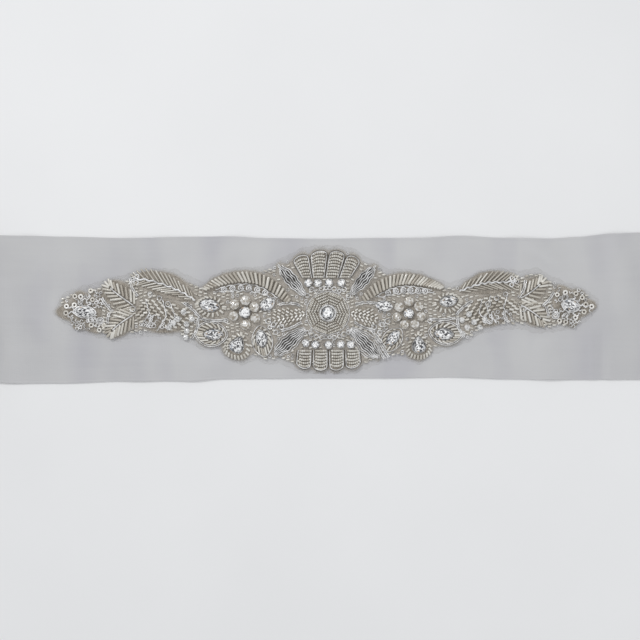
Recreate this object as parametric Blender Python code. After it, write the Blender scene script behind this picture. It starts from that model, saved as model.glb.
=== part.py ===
"""A bridal sash of satin ribbon with a beaded applique, laid flat with both ties folded beside it.

Metres, +Z up. X runs along the sash, Y across it, and the surface that it rests on is Z = 0.
Tables and sizes below are in millimetres, measured from the middle of the sash.
"""

import math
from collections import namedtuple

import bmesh
import bpy
from mathutils import Vector

MM = 0.001

# Driving dimensions
RIBBON_WIDTH = 100.0
RIBBON_WALL = 1.2
SASH_LENGTH = 2500.0
SEAM_GAP = 0.3
FRONT_HALF_LENGTH = 233.0
FOLD_INNER_X = 240.0
FOLD_PITCH = 3.0
FOLD_RUNS = 7
FOLD_OUTER_X = (SASH_LENGTH / 2.0 + (FOLD_RUNS - 1) * FOLD_INNER_X) / FOLD_RUNS
NET_WALL = 1.0
LAY_GAP = 0.3
DISC_Y = -3.4
DISC_RADIUS = 14.3
STONE_CLEARANCE = 0.4

NET_BASE = RIBBON_WALL + LAY_GAP
PAD_BASE = NET_BASE + NET_WALL + LAY_GAP

# How finely each kind of piece is divided
RIBBON_CELLS = (48, 10)
NET_CELLS = (56, 4)
LEAF_CELLS = (14, 6)
SPRAY_CELLS = (9, 8)
ARC_CELLS = (22, 6)
FAN_CELLS = (16, 5)
RING_POINTS = 24
SPRAY_POINTS = 36
DISC_POINTS = 32
FLOWER_POINTS = 36
FOLD_POINTS_PER_SIDE = 6

# The ribbon's two long edges, rippled a little by the stitching
EdgeRow = namedtuple("EdgeRow", "x front back")
RIBBON_EDGES = (
    EdgeRow(-233, -50.0, 49.4),
    EdgeRow(-205, -51.0, 48.8),
    EdgeRow(-178, -50.7, 48.2),
    EdgeRow(-135, -49.3, 47.2),
    EdgeRow(-92, -49.3, 48.2),
    EdgeRow(-70, -48.0, 48.4),
    EdgeRow(-38, -47.6, 47.2),
    EdgeRow(-5, -47.3, 46.8),
    EdgeRow(38, -47.4, 47.3),
    EdgeRow(62, -47.0, 47.4),
    EdgeRow(90, -46.6, 48.8),
    EdgeRow(120, -48.0, 47.4),
    EdgeRow(150, -48.4, 46.9),
    EdgeRow(168, -48.4, 48.0),
    EdgeRow(192, -48.2, 50.2),
    EdgeRow(212, -48.4, 51.0),
    EdgeRow(233, -49.4, 50.0),
)

# Soft creases in the ribbon: a ridge along a line from one point to another
CreaseRow = namedtuple("CreaseRow", "x y end_x end_y width rise")
RIBBON_CREASES = (
    CreaseRow(-131, 50, -124, 30, 9, 0.8),
    CreaseRow(-112, 50, -116, 32, 8, 0.6),
    CreaseRow(-60, 50, -66, 34, 8, 0.6),
    CreaseRow(68, 50, 60, 32, 9, 0.7),
    CreaseRow(128, 50, 150, 30, 9, 0.9),
    CreaseRow(196, 50, 205, 4, 10, 0.8),
    CreaseRow(222, 30, 226, -44, 9, 0.6),
    CreaseRow(-205, 46, -198, -8, 10, 0.7),
    CreaseRow(-222, 10, -216, -50, 9, 0.7),
    CreaseRow(-128, -50, -120, -30, 10, 0.8),
    CreaseRow(-92, -50, -80, -36, 8, 0.6),
    CreaseRow(96, -50, 88, -34, 9, 0.6),
    CreaseRow(150, -48, 143, -24, 10, 0.8),
    CreaseRow(186, -50, 182, -22, 9, 0.6),
)

CREASE_STARTS_OUTSIDE_NET = 9.0
CREASE_FULL_OUTSIDE_NET = 16.0

# How far each folded run is pushed along the sash, and how much it is skewed across it
RunRow = namedtuple("RunRow", "shift skew")
FOLD_RUN_ROWS = (
    RunRow(0.0, 0.0),
    RunRow(-0.6, 0.4),
    RunRow(0.5, -0.5),
    RunRow(-0.8, 0.6),
    RunRow(0.6, -0.8),
    RunRow(-0.5, 0.9),
    RunRow(0.3, -0.6),
)
FOLD_BULGE = 0.8
FOLD_GROOVE = 2.6
FOLD_SIDE_GROOVE = 1.8
FOLD_NARROWING = 0.6
CUT_END_SLANT = 22.0
CUT_END_INSET = 10.0

# The trimmed net: its lower and upper outline along the sash
NetRow = namedtuple("NetRow", "x front back")
NET_OUTLINE = (
    NetRow(-186.0, -4.6, -1.2),
    NetRow(-177.0, -11.0, 11.5),
    NetRow(-164.0, -17.8, 15.4),
    NetRow(-152.0, -20.6, 18.6),
    NetRow(-143.0, -22.6, 21.4),
    NetRow(-132.0, -20.4, 23.6),
    NetRow(-118.0, -19.4, 26.8),
    NetRow(-104.0, -18.8, 26.6),
    NetRow(-94.0, -23.6, 22.0),
    NetRow(-84.0, -28.6, 17.6),
    NetRow(-75.0, -27.6, 23.4),
    NetRow(-68.0, -35.6, 26.4),
    NetRow(-58.0, -38.4, 27.8),
    NetRow(-48.0, -35.2, 27.6),
    NetRow(-40.0, -38.4, 29.4),
    NetRow(-33.0, -37.4, 33.4),
    NetRow(-25.0, -41.0, 36.6),
    NetRow(-18.0, -44.4, 40.8),
    NetRow(-7.0, -44.6, 42.4),
    NetRow(7.0, -44.6, 42.4),
    NetRow(18.0, -44.4, 40.2),
    NetRow(25.0, -41.6, 35.0),
    NetRow(33.0, -38.4, 31.8),
    NetRow(40.0, -35.6, 26.6),
    NetRow(52.0, -35.4, 26.6),
    NetRow(62.0, -38.2, 25.2),
    NetRow(71.0, -31.4, 20.8),
    NetRow(82.0, -28.0, 17.4),
    NetRow(93.0, -23.8, 20.4),
    NetRow(104.0, -17.4, 25.6),
    NetRow(116.0, -14.8, 27.2),
    NetRow(130.0, -14.2, 25.4),
    NetRow(141.0, -17.2, 27.4),
    NetRow(152.0, -16.4, 21.2),
    NetRow(164.0, -14.6, 16.6),
    NetRow(174.0, -9.4, 12.6),
    NetRow(183.0, -1.6, 6.4),
)

# Fan petals: the borders between them, from the end near the medallion to the outer end
BorderRow = namedtuple("BorderRow", "root_x root_y tip_x tip_y")
TOP_FAN = (
    BorderRow(-17.6, 20.6, -24.0, 30.6),
    BorderRow(-10.4, 20.4, -12.4, 35.0),
    BorderRow(-2.0, 20.4, 0.4, 37.0),
    BorderRow(7.4, 20.4, 12.2, 34.8),
    BorderRow(15.6, 20.6, 22.0, 29.8),
)
BOTTOM_FAN = (
    BorderRow(21.8, -28.4, 22.8, -36.6),
    BorderRow(11.2, -28.3, 11.4, -39.0),
    BorderRow(0.3, -28.3, 0.4, -39.8),
    BorderRow(-10.4, -28.3, -10.8, -39.2),
    BorderRow(-20.8, -28.4, -22.0, -37.0),
)
FAN_SCALLOP = 3.2

# Long pads: a spine of points with the half width at each
SpineRow = namedtuple("SpineRow", "x y half")
SPRAYS = {
    "spray_upper_left": (SpineRow(-15.6, 8.4, 1.4), SpineRow(-21.4, 15.2, 4.2),
                         SpineRow(-27.4, 22.2, 4.6), SpineRow(-33.6, 29.2, 1.2)),
    "spray_upper_right": (SpineRow(15.6, 9.4, 1.4), SpineRow(21.0, 15.6, 4.2),
                          SpineRow(26.4, 21.8, 4.4), SpineRow(32.4, 28.4, 1.2)),
    "spray_lower_left": (SpineRow(-15.4, -14.0, 1.2), SpineRow(-22.4, -19.6, 4.2),
                         SpineRow(-29.4, -25.6, 4.8), SpineRow(-36.2, -32.0, 1.2)),
    "spray_lower_right": (SpineRow(15.4, -14.0, 1.1), SpineRow(21.6, -20.1, 4.0),
                          SpineRow(28.0, -26.8, 4.6), SpineRow(34.9, -34.0, 1.2)),
}
ARC_WINGS = {
    "arc_wing_left": (SpineRow(-83.4, 12.4, 1.6), SpineRow(-76.0, 16.6, 3.4), SpineRow(-66.0, 19.8, 3.9),
                      SpineRow(-55.0, 20.8, 4.0), SpineRow(-43.6, 18.4, 4.0), SpineRow(-33.2, 11.8, 3.8),
                      SpineRow(-26.2, 4.4, 2.2)),
    "arc_wing_right": (SpineRow(76.8, 13.4, 1.6), SpineRow(70.4, 16.0, 3.2), SpineRow(62.4, 18.2, 3.8),
                       SpineRow(52.8, 19.4, 4.0), SpineRow(42.4, 17.8, 4.0), SpineRow(32.2, 12.8, 3.8),
                       SpineRow(23.8, 5.6, 2.2)),
}
SCROLL_DEPTH = 4.6
LEAVES = {
    "chevron_left": (SpineRow(-37.0, -8.0, 3.8), SpineRow(-30.0, -6.4, 7.0),
                     SpineRow(-22.4, -4.8, 5.8), SpineRow(-15.4, -3.6, 1.8)),
    "chevron_right": (SpineRow(33.4, -8.2, 3.6), SpineRow(27.4, -6.2, 6.6),
                      SpineRow(21.4, -4.8, 5.6), SpineRow(15.4, -3.6, 1.8)),
    "feather_leaf_left": (SpineRow(-132.0, 19.4, 2.6), SpineRow(-121.0, 18.8, 6.2),
                          SpineRow(-108.0, 14.8, 8.2), SpineRow(-98.0, 10.4, 6.0),
                          SpineRow(-89.6, 5.4, 1.0)),
    "feather_leaf_right": (SpineRow(89.0, 11.4, 1.0), SpineRow(98.0, 14.8, 5.4),
                           SpineRow(108.0, 17.0, 7.6), SpineRow(118.0, 17.4, 6.2),
                           SpineRow(127.0, 17.8, 2.2)),
    "outer_leaf_upper_left": (SpineRow(-149.0, 16.4, 3.4), SpineRow(-144.4, 11.6, 8.0),
                              SpineRow(-137.6, 6.4, 7.2), SpineRow(-130.6, 1.4, 1.4)),
    "outer_leaf_lower_left": (SpineRow(-147.4, -17.8, 3.0), SpineRow(-143.2, -13.2, 6.8),
                              SpineRow(-137.6, -8.8, 6.2), SpineRow(-131.0, -4.6, 1.2)),
    "outer_leaf_upper_right": (SpineRow(145.6, 18.8, 3.0), SpineRow(141.2, 14.4, 7.0),
                               SpineRow(135.6, 10.0, 6.2), SpineRow(129.4, 6.4, 1.2)),
    "outer_leaf_lower_right": (SpineRow(146.2, -9.6, 3.0), SpineRow(141.6, -5.6, 7.0),
                               SpineRow(136.0, -1.6, 6.0), SpineRow(129.6, 2.2, 1.2)),
    "mid_field_left": (SpineRow(-129.0, -2.4, 3.4), SpineRow(-119.0, -3.8, 10.8),
                       SpineRow(-105.0, -6.2, 10.2), SpineRow(-91.0, -7.4, 3.4)),
    "mid_field_right": (SpineRow(128.0, 1.8, 2.8), SpineRow(117.0, 0.0, 9.0),
                        SpineRow(104.0, -2.8, 9.6), SpineRow(92.0, -6.2, 3.4)),
}

# Cut stones: outline, place, size and turn from the X axis
StoneRow = namedtuple("StoneRow", "name shape x y length width turn height")
STONES = (
    StoneRow("stone_centre", "round", 0.0, DISC_Y, 8.8, 8.8, 0, 4.4),
    StoneRow("stone_top_1", "round", -13.1, 16.9, 5.6, 5.6, 0, 3.2),
    StoneRow("stone_top_2", "round", -6.9, 16.9, 5.6, 5.6, 0, 3.2),
    StoneRow("stone_top_3", "round", 0.8, 17.0, 5.6, 5.6, 0, 3.2),
    StoneRow("stone_top_4", "round", 9.2, 16.9, 5.6, 5.6, 0, 3.2),
    StoneRow("stone_bottom_1", "round", -14.9, -23.6, 5.4, 5.4, 0, 3.2),
    StoneRow("stone_bottom_2", "round", -8.4, -24.6, 5.5, 5.5, 0, 3.2),
    StoneRow("stone_bottom_3", "round", 0.3, -24.9, 5.5, 5.5, 0, 3.2),
    StoneRow("stone_bottom_4", "round", 8.7, -24.5, 5.5, 5.5, 0, 3.2),
    StoneRow("stone_bottom_5", "round", 15.5, -24.7, 5.5, 5.5, 0, 3.2),
    StoneRow("stone_flower_left", "round", -56.0, -3.0, 7.8, 7.8, 0, 3.9),
    StoneRow("stone_flower_right", "round", 54.5, -3.8, 6.9, 6.9, 0, 3.7),
    StoneRow("stone_left_1", "marquise", -163.8, -2.7, 14.2, 7.1, -4, 3.6),
    StoneRow("stone_left_2", "marquise", -79.9, 1.8, 12.8, 7.9, -10, 3.8),
    StoneRow("stone_left_3", "marquise", -77.1, -17.9, 12.6, 7.2, -2, 3.6),
    StoneRow("stone_left_4", "pear", -61.0, -24.6, 10.8, 9.2, 62, 3.8),
    StoneRow("stone_left_5", "marquise", -44.8, -20.6, 11.5, 7.4, 100, 3.6),
    StoneRow("stone_left_6", "marquise", -40.9, 2.4, 11.5, 8.0, 32, 3.8),
    StoneRow("stone_right_1", "marquise", 163.6, 1.6, 11.5, 7.8, -12, 3.6),
    StoneRow("stone_right_2", "marquise", 81.3, 4.6, 11.5, 6.8, 10, 3.6),
    StoneRow("stone_right_3", "marquise", 78.2, -17.6, 12.8, 7.6, -5, 3.6),
    StoneRow("stone_right_4", "pear", 61.3, -24.6, 10.8, 8.6, 96, 3.8),
    StoneRow("stone_right_5", "marquise", 43.9, -20.4, 12.0, 6.6, 50, 3.6),
    StoneRow("stone_right_6", "marquise", 37.9, 1.4, 12.0, 7.3, -8, 3.8),
)
MARQUISE_SHARPNESS = 1.35
PEAR_SHARPNESS = 0.8
PEAR_WIDEST = 0.8
STONE_FOOT = 0.74
STONE_TABLE = 0.58
STONE_GIRDLE = 0.45

# Beaded leaves that ring a stone: the leaf's own place, size and turn
RingRow = namedtuple("RingRow", "name stone shape x y length width turn")
STONE_LEAVES = (
    RingRow("stone_leaf_2_left", "stone_left_2", "marquise", -79.0, 1.0, 21.6, 14.4, -6),
    RingRow("stone_leaf_3_left", "stone_left_3", "marquise", -78.8, -17.4, 22.8, 17.4, -4),
    RingRow("stone_leaf_4_left", "stone_left_4", "pear", -61.0, -25.2, 19.0, 18.2, 74),
    RingRow("stone_leaf_5_left", "stone_left_5", "marquise", -44.2, -22.4, 21.4, 13.8, 100),
    RingRow("stone_leaf_2_right", "stone_right_2", "marquise", 80.6, 3.4, 21.0, 13.8, 6),
    RingRow("stone_leaf_3_right", "stone_right_3", "marquise", 79.4, -16.8, 23.4, 16.6, -6),
    RingRow("stone_leaf_4_right", "stone_right_4", "pear", 61.3, -25.2, 19.0, 17.0, 92),
    RingRow("stone_leaf_5_right", "stone_right_5", "marquise", 43.1, -21.5, 19.2, 12.8, 50),
)

# Sprays of ring beads at the two ends: reach from the end stone at each angle
ReachRow = namedtuple("ReachRow", "angle reach")
END_SPRAYS = {
    "end_spray_left": ("stone_left_1", (
        ReachRow(0, 10.6), ReachRow(52, 17.4), ReachRow(80, 11.4), ReachRow(112, 14.6), ReachRow(146, 10.6),
        ReachRow(180, 19.4), ReachRow(212, 10.6), ReachRow(236, 13.8), ReachRow(268, 11.0),
        ReachRow(306, 16.6), ReachRow(336, 10.8))),
    "end_spray_right": ("stone_right_1", (
        ReachRow(0, 17.8), ReachRow(26, 10.8), ReachRow(52, 13.2), ReachRow(84, 9.8), ReachRow(122, 15.2),
        ReachRow(156, 11.6), ReachRow(180, 12.6), ReachRow(222, 14.2), ReachRow(250, 11.2),
        ReachRow(278, 15.0), ReachRow(312, 9.8), ReachRow(338, 12.8))),
}

# How high the pads rise above the net, and how deep their grooves are
DISC_PROFILE = ((0.0, 0.0), (0.0, 1.9), (0.12, 2.3), (0.4, 2.2), (0.7, 1.9), (0.92, 1.3), (1.0, 0.7),
                (1.0, 0.0))
DISC_SECTORS = 8
DISC_SECTOR_GROOVE = 0.6
PETAL_RIM = 0.7
PETAL_RISE = 1.5
LEAF_RIM = 0.8
LEAF_RISE = 1.3
MIDRIB_GROOVE = 0.35
MIDRIB_WIDTH = 0.2
CORD_RIM = 0.9
CORD_RIDGE = 0.9
CORD_ROOT_RISE = 0.4
ARC_RIM = 0.9
ARC_RISE = 1.4
STONE_LEAF_PROFILE = ((0.0, 0.0), (0.0, 1.7), (0.45, 1.9), (1.0, 0.8), (1.0, 0.0))
END_SPRAY_PROFILE = ((0.0, 0.0), (0.0, 1.5), (0.5, 1.9), (1.0, 0.9), (1.0, 0.0))
FLOWER_PROFILE = ((0.0, 0.0), (0.0, 1.0), (0.25, 1.0), (0.5, 1.0), (0.78, 1.0), (1.0, 0.9), (1.0, 0.0))
FLOWER_COLLAR = 2.0
BEAD_RISE = 2.6

# Flowers: the large round beads about each flower stone
BeadRow = namedtuple("BeadRow", "x y size")
FLOWERS = {
    "flower_left": ("stone_flower_left", (
        BeadRow(-63.1, 2.4, 7.2), BeadRow(-55.6, 5.0, 7.2), BeadRow(-49.6, 0.6, 7.2),
        BeadRow(-48.9, -6.8, 7.0), BeadRow(-55.4, -11.2, 7.2), BeadRow(-63.6, -5.4, 7.0))),
    "flower_right": ("stone_flower_right", (
        BeadRow(48.0, 0.6, 6.8), BeadRow(54.6, 4.4, 6.8), BeadRow(61.2, 1.0, 6.8), BeadRow(62.8, -5.6, 6.6),
        BeadRow(46.4, -6.0, 6.6), BeadRow(51.4, -11.2, 6.6), BeadRow(58.6, -10.8, 6.6))),
}


def clear_scene():
    for thing in list(bpy.data.objects):
        bpy.data.objects.remove(thing, do_unlink=True)


def make_material(name, colour, roughness, metallic=0.0):
    made = bpy.data.materials.new(name)
    made.use_nodes = True
    shader = made.node_tree.nodes["Principled BSDF"]
    shader.inputs["Base Color"].default_value = (*colour, 1.0)
    shader.inputs["Roughness"].default_value = roughness
    shader.inputs["Metallic"].default_value = metallic
    return made


def smooth_step(value, low, high):
    share = min(max((value - low) / (high - low), 0.0), 1.0)
    return share * share * (3.0 - 2.0 * share)


def spline_rows(rows, share):
    """Catmull-Rom through rows of equal importance; share runs from 0 to 1."""
    place = share * (len(rows) - 1)
    index = min(int(place), len(rows) - 2)
    step = place - index
    picked = [rows[min(max(index + offset, 0), len(rows) - 1)] for offset in (-1, 0, 1, 2)]
    values = []
    for before, start, end, after in zip(*picked):
        out = (end - before) / 2.0
        into = (after - start) / 2.0
        values.append((2 * step ** 3 - 3 * step ** 2 + 1) * start + (step ** 3 - 2 * step ** 2 + step) * out
                      + (3 * step ** 2 - 2 * step ** 3) * end + (step ** 3 - step ** 2) * into)
    return type(rows[0])(*values)


def table_at(rows, key):
    """Values of a table at key, eased between its rows, which are sorted by their first column."""
    if key <= rows[0][0]:
        return rows[0]
    for low, high in zip(rows, rows[1:]):
        if key <= high[0]:
            share = smooth_step(key, low[0], high[0])
            return type(low)(*(a + (b - a) * share for a, b in zip(low, high)))
    return rows[-1]


def net_margin(x, y):
    """Distance outside the net's outline, negative inside it, measured across the sash."""
    if x < NET_OUTLINE[0].x:
        return NET_OUTLINE[0].x - x
    if x > NET_OUTLINE[-1].x:
        return x - NET_OUTLINE[-1].x
    row = table_at(NET_OUTLINE, x)
    return max(row.front - y, y - row.back)


def ribbon_top(x, y):
    """Height of the ribbon's upper face: flat under the net, softly creased beyond it."""
    rise = 0.0
    for crease in RIBBON_CREASES:
        line = Vector((crease.end_x - crease.x, crease.end_y - crease.y))
        along = Vector((x - crease.x, y - crease.y)).dot(line) / line.length_squared
        nearest = min(max(along, 0.0), 1.0)
        away = math.hypot(x - crease.x - nearest * line.x, y - crease.y - nearest * line.y)
        rise = max(rise, crease.rise * math.exp(-(away / crease.width) ** 2))
    return RIBBON_WALL + rise * smooth_step(net_margin(x, y), CREASE_STARTS_OUTSIDE_NET,
                                            CREASE_FULL_OUTSIDE_NET)


def finish(name, mesh_data, material, smooth_angle=35.0):
    """Turn the built mesh into a named object of the sash, shaded smooth with its creases kept."""
    bmesh.ops.recalc_face_normals(mesh_data, faces=mesh_data.faces)
    mesh = bpy.data.meshes.new(name)
    mesh_data.to_mesh(mesh)
    mesh_data.free()
    mesh.materials.append(material)
    mesh.shade_smooth()
    mesh.set_sharp_from_angle(angle=math.radians(smooth_angle))
    made = bpy.data.objects.new(name, mesh)
    sash.objects.link(made)
    return made


def grid_pad(name, cells, place, base, material):
    """A grid raised by place(u, v), a skirt down to base and a flat underside."""
    mesh_data = bmesh.new()
    bmesh.ops.create_grid(mesh_data, x_segments=cells[0], y_segments=cells[1], size=0.5)
    for vertex in mesh_data.verts:
        vertex.co = Vector(place(vertex.co.x + 0.5, vertex.co.y + 0.5)) * MM
    rim = [edge for edge in mesh_data.edges if edge.is_boundary]
    skirt = bmesh.ops.extrude_edge_only(mesh_data, edges=rim)["geom"]
    for item in skirt:
        if isinstance(item, bmesh.types.BMVert):
            item.co.z = base * MM
    underside = [edge for edge in mesh_data.edges if edge.is_boundary]
    bmesh.ops.contextual_create(mesh_data, geom=underside)
    return finish(name, mesh_data, material)


def ring_pad(name, points, profile, place, material):
    """A ring swept round a hole: place(turn, across, height) for each row of its closed profile."""
    mesh_data = bmesh.new()
    bmesh.ops.create_grid(mesh_data, x_segments=points, y_segments=len(profile), size=0.5)
    for vertex in mesh_data.verts:
        turn = round((vertex.co.x + 0.5) * points) % points / points
        row = profile[round((vertex.co.y + 0.5) * len(profile)) % len(profile)]
        vertex.co = Vector(place(turn, *row)) * MM
    bmesh.ops.remove_doubles(mesh_data, verts=mesh_data.verts, dist=1e-7)
    return finish(name, mesh_data, material)


def loft(rings):
    """A closed body through rings of points: a face on the first, extruded from ring to ring."""
    mesh_data = bmesh.new()
    bmesh.ops.create_circle(mesh_data, cap_ends=True, segments=len(rings[0]), radius=1.0)
    mesh_data.faces.ensure_lookup_table()
    top = mesh_data.faces[0]
    for level, ring in enumerate(rings):
        if level:
            raised = bmesh.ops.extrude_face_region(mesh_data, geom=[top])["geom"]
            if level > 1 and top.is_valid:
                bmesh.ops.delete(mesh_data, geom=[top], context="FACES_ONLY")
            top = next(item for item in raised if isinstance(item, bmesh.types.BMFace))
        for loop, point in zip(top.loops, ring):
            loop.vert.co = Vector(point) * MM
    return mesh_data


def stone_outline(shape, length, width, turn):
    """A point on a cut stone's outline; turn runs from 0 to 1, starting at the tip on +X."""
    angle = turn * math.tau
    if shape == "round":
        return 0.5 * length * math.cos(angle), 0.5 * width * math.sin(angle)
    if shape == "marquise":
        side = math.copysign(abs(math.sin(angle)) ** MARQUISE_SHARPNESS, math.sin(angle))
        return 0.5 * length * math.cos(angle), 0.5 * width * side
    swell = math.sin(angle) * abs(math.sin(angle / 2.0)) ** PEAR_SHARPNESS / PEAR_WIDEST
    return 0.5 * length * math.cos(angle), 0.5 * width * swell


def turned(x, y, degrees, about):
    """A point turned about the origin and moved to a place."""
    angle = math.radians(degrees)
    return (about[0] + x * math.cos(angle) - y * math.sin(angle),
            about[1] + x * math.sin(angle) + y * math.cos(angle))


def stone_by_name(name):
    return next(row for row in STONES if row.name == name)


def seat_outline(stone, turn):
    """A point on the hole that clears a stone."""
    length = stone.length + 2.0 * STONE_CLEARANCE
    width = stone.width + 2.0 * STONE_CLEARANCE
    spot = stone_outline(stone.shape, length, width, turn)
    return turned(*spot, stone.turn, (stone.x, stone.y))


def make_ribbon_front(material):
    half = FRONT_HALF_LENGTH - SEAM_GAP / 2.0

    def place(u, v):
        x = half * (2.0 * u - 1.0)
        edges = table_at(RIBBON_EDGES, x)
        y = edges.front + (edges.back - edges.front) * v
        return x, y, ribbon_top(x, y)

    grid_pad("ribbon_front", RIBBON_CELLS, place, 0.0, material)


def fold_levels():
    """Heights of the folded tie's rings with the run that each belongs to, or the gap above it."""
    levels = []
    for run in range(FOLD_RUNS):
        bottom = run * FOLD_PITCH
        levels.append((bottom, run, False))
        levels.append((bottom + RIBBON_WALL, run, False))
        if run < FOLD_RUNS - 1:
            levels.append((bottom + (RIBBON_WALL + FOLD_PITCH) / 2.0, run, True))
    return levels


def fold_ring(run, is_gap, side):
    """Outline of one level of a folded tie, counterclockwise from above on the right-hand side."""
    row = FOLD_RUN_ROWS[run]
    closed_outside = run % 2 == 0
    inner = FOLD_INNER_X + row.shift
    outer = FOLD_OUTER_X + row.shift * 0.5
    half = RIBBON_WIDTH / 2.0
    if run == 0 and not is_gap:
        inner = FRONT_HALF_LENGTH + SEAM_GAP / 2.0
    if is_gap:
        outer += FOLD_BULGE if closed_outside else -FOLD_GROOVE
        inner += FOLD_GROOVE if closed_outside else -FOLD_BULGE
        half -= FOLD_SIDE_GROOVE
    corners = ((inner, -half), (outer, -half), (outer, half), (inner, half))
    ring = []
    for start, end in zip(corners, corners[1:] + corners[:1]):
        for step in range(FOLD_POINTS_PER_SIDE):
            share = step / FOLD_POINTS_PER_SIDE
            x = start[0] + (end[0] - start[0]) * share
            y = start[1] + (end[1] - start[1]) * share
            along = (x - inner) / (outer - inner)
            if run == FOLD_RUNS - 1:
                cut = CUT_END_INSET + CUT_END_SLANT * (y + half) / (2.0 * half)
                x -= along * cut
            if run > 0 or is_gap:
                y = (y + row.skew * along) * (1.0 - FOLD_NARROWING / half)
            ring.append((side * x, y))
    return ring


def make_tie(name, side, material):
    """The folded tie: one body whose flanks show its runs, its lowest run reaching to the seam."""
    rings = [[(x, y, height) for x, y in fold_ring(run, is_gap, side)]
             for height, run, is_gap in fold_levels()]
    return finish(name, loft(rings), material)


def make_net(material):
    start = NET_OUTLINE[0].x
    length = NET_OUTLINE[-1].x - start

    def place(u, v):
        x = start + length * u
        row = table_at(NET_OUTLINE, x)
        y = row.front + (row.back - row.front) * v
        return x, y, ribbon_top(x, y) + LAY_GAP + NET_WALL

    grid_pad("applique_net", NET_CELLS, place, NET_BASE, material)


def make_disc(material):
    """The medallion: eight beaded sectors about the centre stone."""
    stone = stone_by_name("stone_centre")
    hole = stone.length / 2.0 + STONE_CLEARANCE

    def place(turn, across, height):
        sector = abs((turn * DISC_SECTORS) % 1.0 - 0.5) * 2.0
        radius = hole + (DISC_RADIUS - hole) * across
        if 0.0 < across < 1.0:
            height -= DISC_SECTOR_GROOVE * sector ** 3
        angle = turn * math.tau
        return radius * math.cos(angle), DISC_Y + radius * math.sin(angle), PAD_BASE + height

    ring_pad("centre_disc", DISC_POINTS, DISC_PROFILE, place, material)


def make_fan(name, borders, material):
    """Four petals side by side, each domed between its borders and rounded at its outer end."""
    petals = len(borders) - 1

    def place(u, v):
        spot = u * petals
        index = min(int(spot), petals - 1)
        share = spot - index
        left = borders[index]
        right = borders[index + 1]
        root = Vector((left.root_x + (right.root_x - left.root_x) * share,
                       left.root_y + (right.root_y - left.root_y) * share))
        tip = Vector((left.tip_x + (right.tip_x - left.tip_x) * share,
                      left.tip_y + (right.tip_y - left.tip_y) * share))
        across = 2.0 * share - 1.0
        tip += (tip - root).normalized() * FAN_SCALLOP * math.sqrt(max(1.0 - across ** 2, 0.0))
        spot_xy = root.lerp(tip, v)
        dome = math.sqrt(max(1.0 - across ** 2, 0.0)) * (1.0 - 0.45 * (2.0 * v - 1.0) ** 4)
        return spot_xy.x, spot_xy.y, PAD_BASE + PETAL_RIM + PETAL_RISE * dome

    grid_pad(name, FAN_CELLS, place, PAD_BASE, material)


def spine_frame(rows, share):
    """Point, direction across and half width on a spine."""
    row = spline_rows(rows, share)
    step = 0.01
    ahead = spline_rows(rows, min(share + step, 1.0))
    behind = spline_rows(rows, max(share - step, 0.0))
    along = Vector((ahead.x - behind.x, ahead.y - behind.y)).normalized()
    return Vector((row.x, row.y)), Vector((-along.y, along.x)), max(row.half, 0.5)


def make_leaf(name, rows, material):
    """A leaf domed to either side of a shallow midrib groove."""

    def place(u, v):
        centre, across, half = spine_frame(rows, u)
        side = 2.0 * v - 1.0
        spot = centre + across * half * side
        dome = (1.0 - abs(side) ** 2.4) * (1.0 - 0.6 * abs(2.0 * u - 1.0) ** 3)
        groove = MIDRIB_GROOVE * math.exp(-(side / MIDRIB_WIDTH) ** 2)
        return spot.x, spot.y, PAD_BASE + LEAF_RIM + LEAF_RISE * dome - groove

    grid_pad(name, LEAF_CELLS, place, PAD_BASE, material)


def make_spray(name, rows, material):
    """A spray of four wavy cord loops, raised as four ridges that run together at the root."""

    def place(u, v):
        centre, across, half = spine_frame(rows, u)
        side = 2.0 * v - 1.0
        spot = centre + across * half * side
        ridge = abs(math.sin(v * SPRAY_CELLS[1] / 2.0 * math.pi))
        height = CORD_RIM + CORD_RIDGE * ridge * (1.0 - 0.4 * abs(side)) + CORD_ROOT_RISE * (1.0 - u)
        return spot.x, spot.y, PAD_BASE + height

    grid_pad(name, SPRAY_CELLS, place, PAD_BASE, material)


def make_arc_wing(name, rows, side_sign, material):
    """A curved band of upright beads with a lower strip of scrolls along its inner edge."""

    def place(u, v):
        centre, across, half = spine_frame(rows, u)
        across = across * side_sign
        scroll = SCROLL_DEPTH * math.sin(math.pi * u) ** 1.5
        reach = half - v * (2.0 * half + scroll)
        spot = centre + across * reach
        rise = ARC_RISE * math.sqrt(max(1.0 - (reach / half) ** 2, 0.0))
        return spot.x, spot.y, PAD_BASE + ARC_RIM + rise

    grid_pad(name, ARC_CELLS, place, PAD_BASE, material)


def make_stone_leaf(row, material):
    """A beaded leaf that rings a cut stone, with a hole that clears the stone."""
    stone = stone_by_name(row.stone)

    def place(turn, across, height):
        inner = seat_outline(stone, turn)
        outer = turned(*stone_outline(row.shape, row.length, row.width, turn), row.turn, (row.x, row.y))
        return (inner[0] + (outer[0] - inner[0]) * across,
                inner[1] + (outer[1] - inner[1]) * across, PAD_BASE + height)

    ring_pad(row.name, RING_POINTS, STONE_LEAF_PROFILE, place, material)


def reach_at(rows, degrees):
    """Reach at an angle, eased round the closed table."""
    closed = rows + (ReachRow(rows[0].angle + 360.0, rows[0].reach),)
    return table_at(closed, degrees % 360.0).reach


def make_end_spray(name, stone_name, reaches, material):
    """Ring beads about the end stone, on a pad with an uneven starry outline."""
    stone = stone_by_name(stone_name)

    def place(turn, across, height):
        inner = seat_outline(stone, turn)
        reach = reach_at(reaches, turn * 360.0 + stone.turn)
        outer = turned(reach * math.cos(turn * math.tau), reach * math.sin(turn * math.tau),
                       stone.turn, (stone.x, stone.y))
        return (inner[0] + (outer[0] - inner[0]) * across,
                inner[1] + (outer[1] - inner[1]) * across, PAD_BASE + height)

    ring_pad(name, SPRAY_POINTS, END_SPRAY_PROFILE, place, material)


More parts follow.
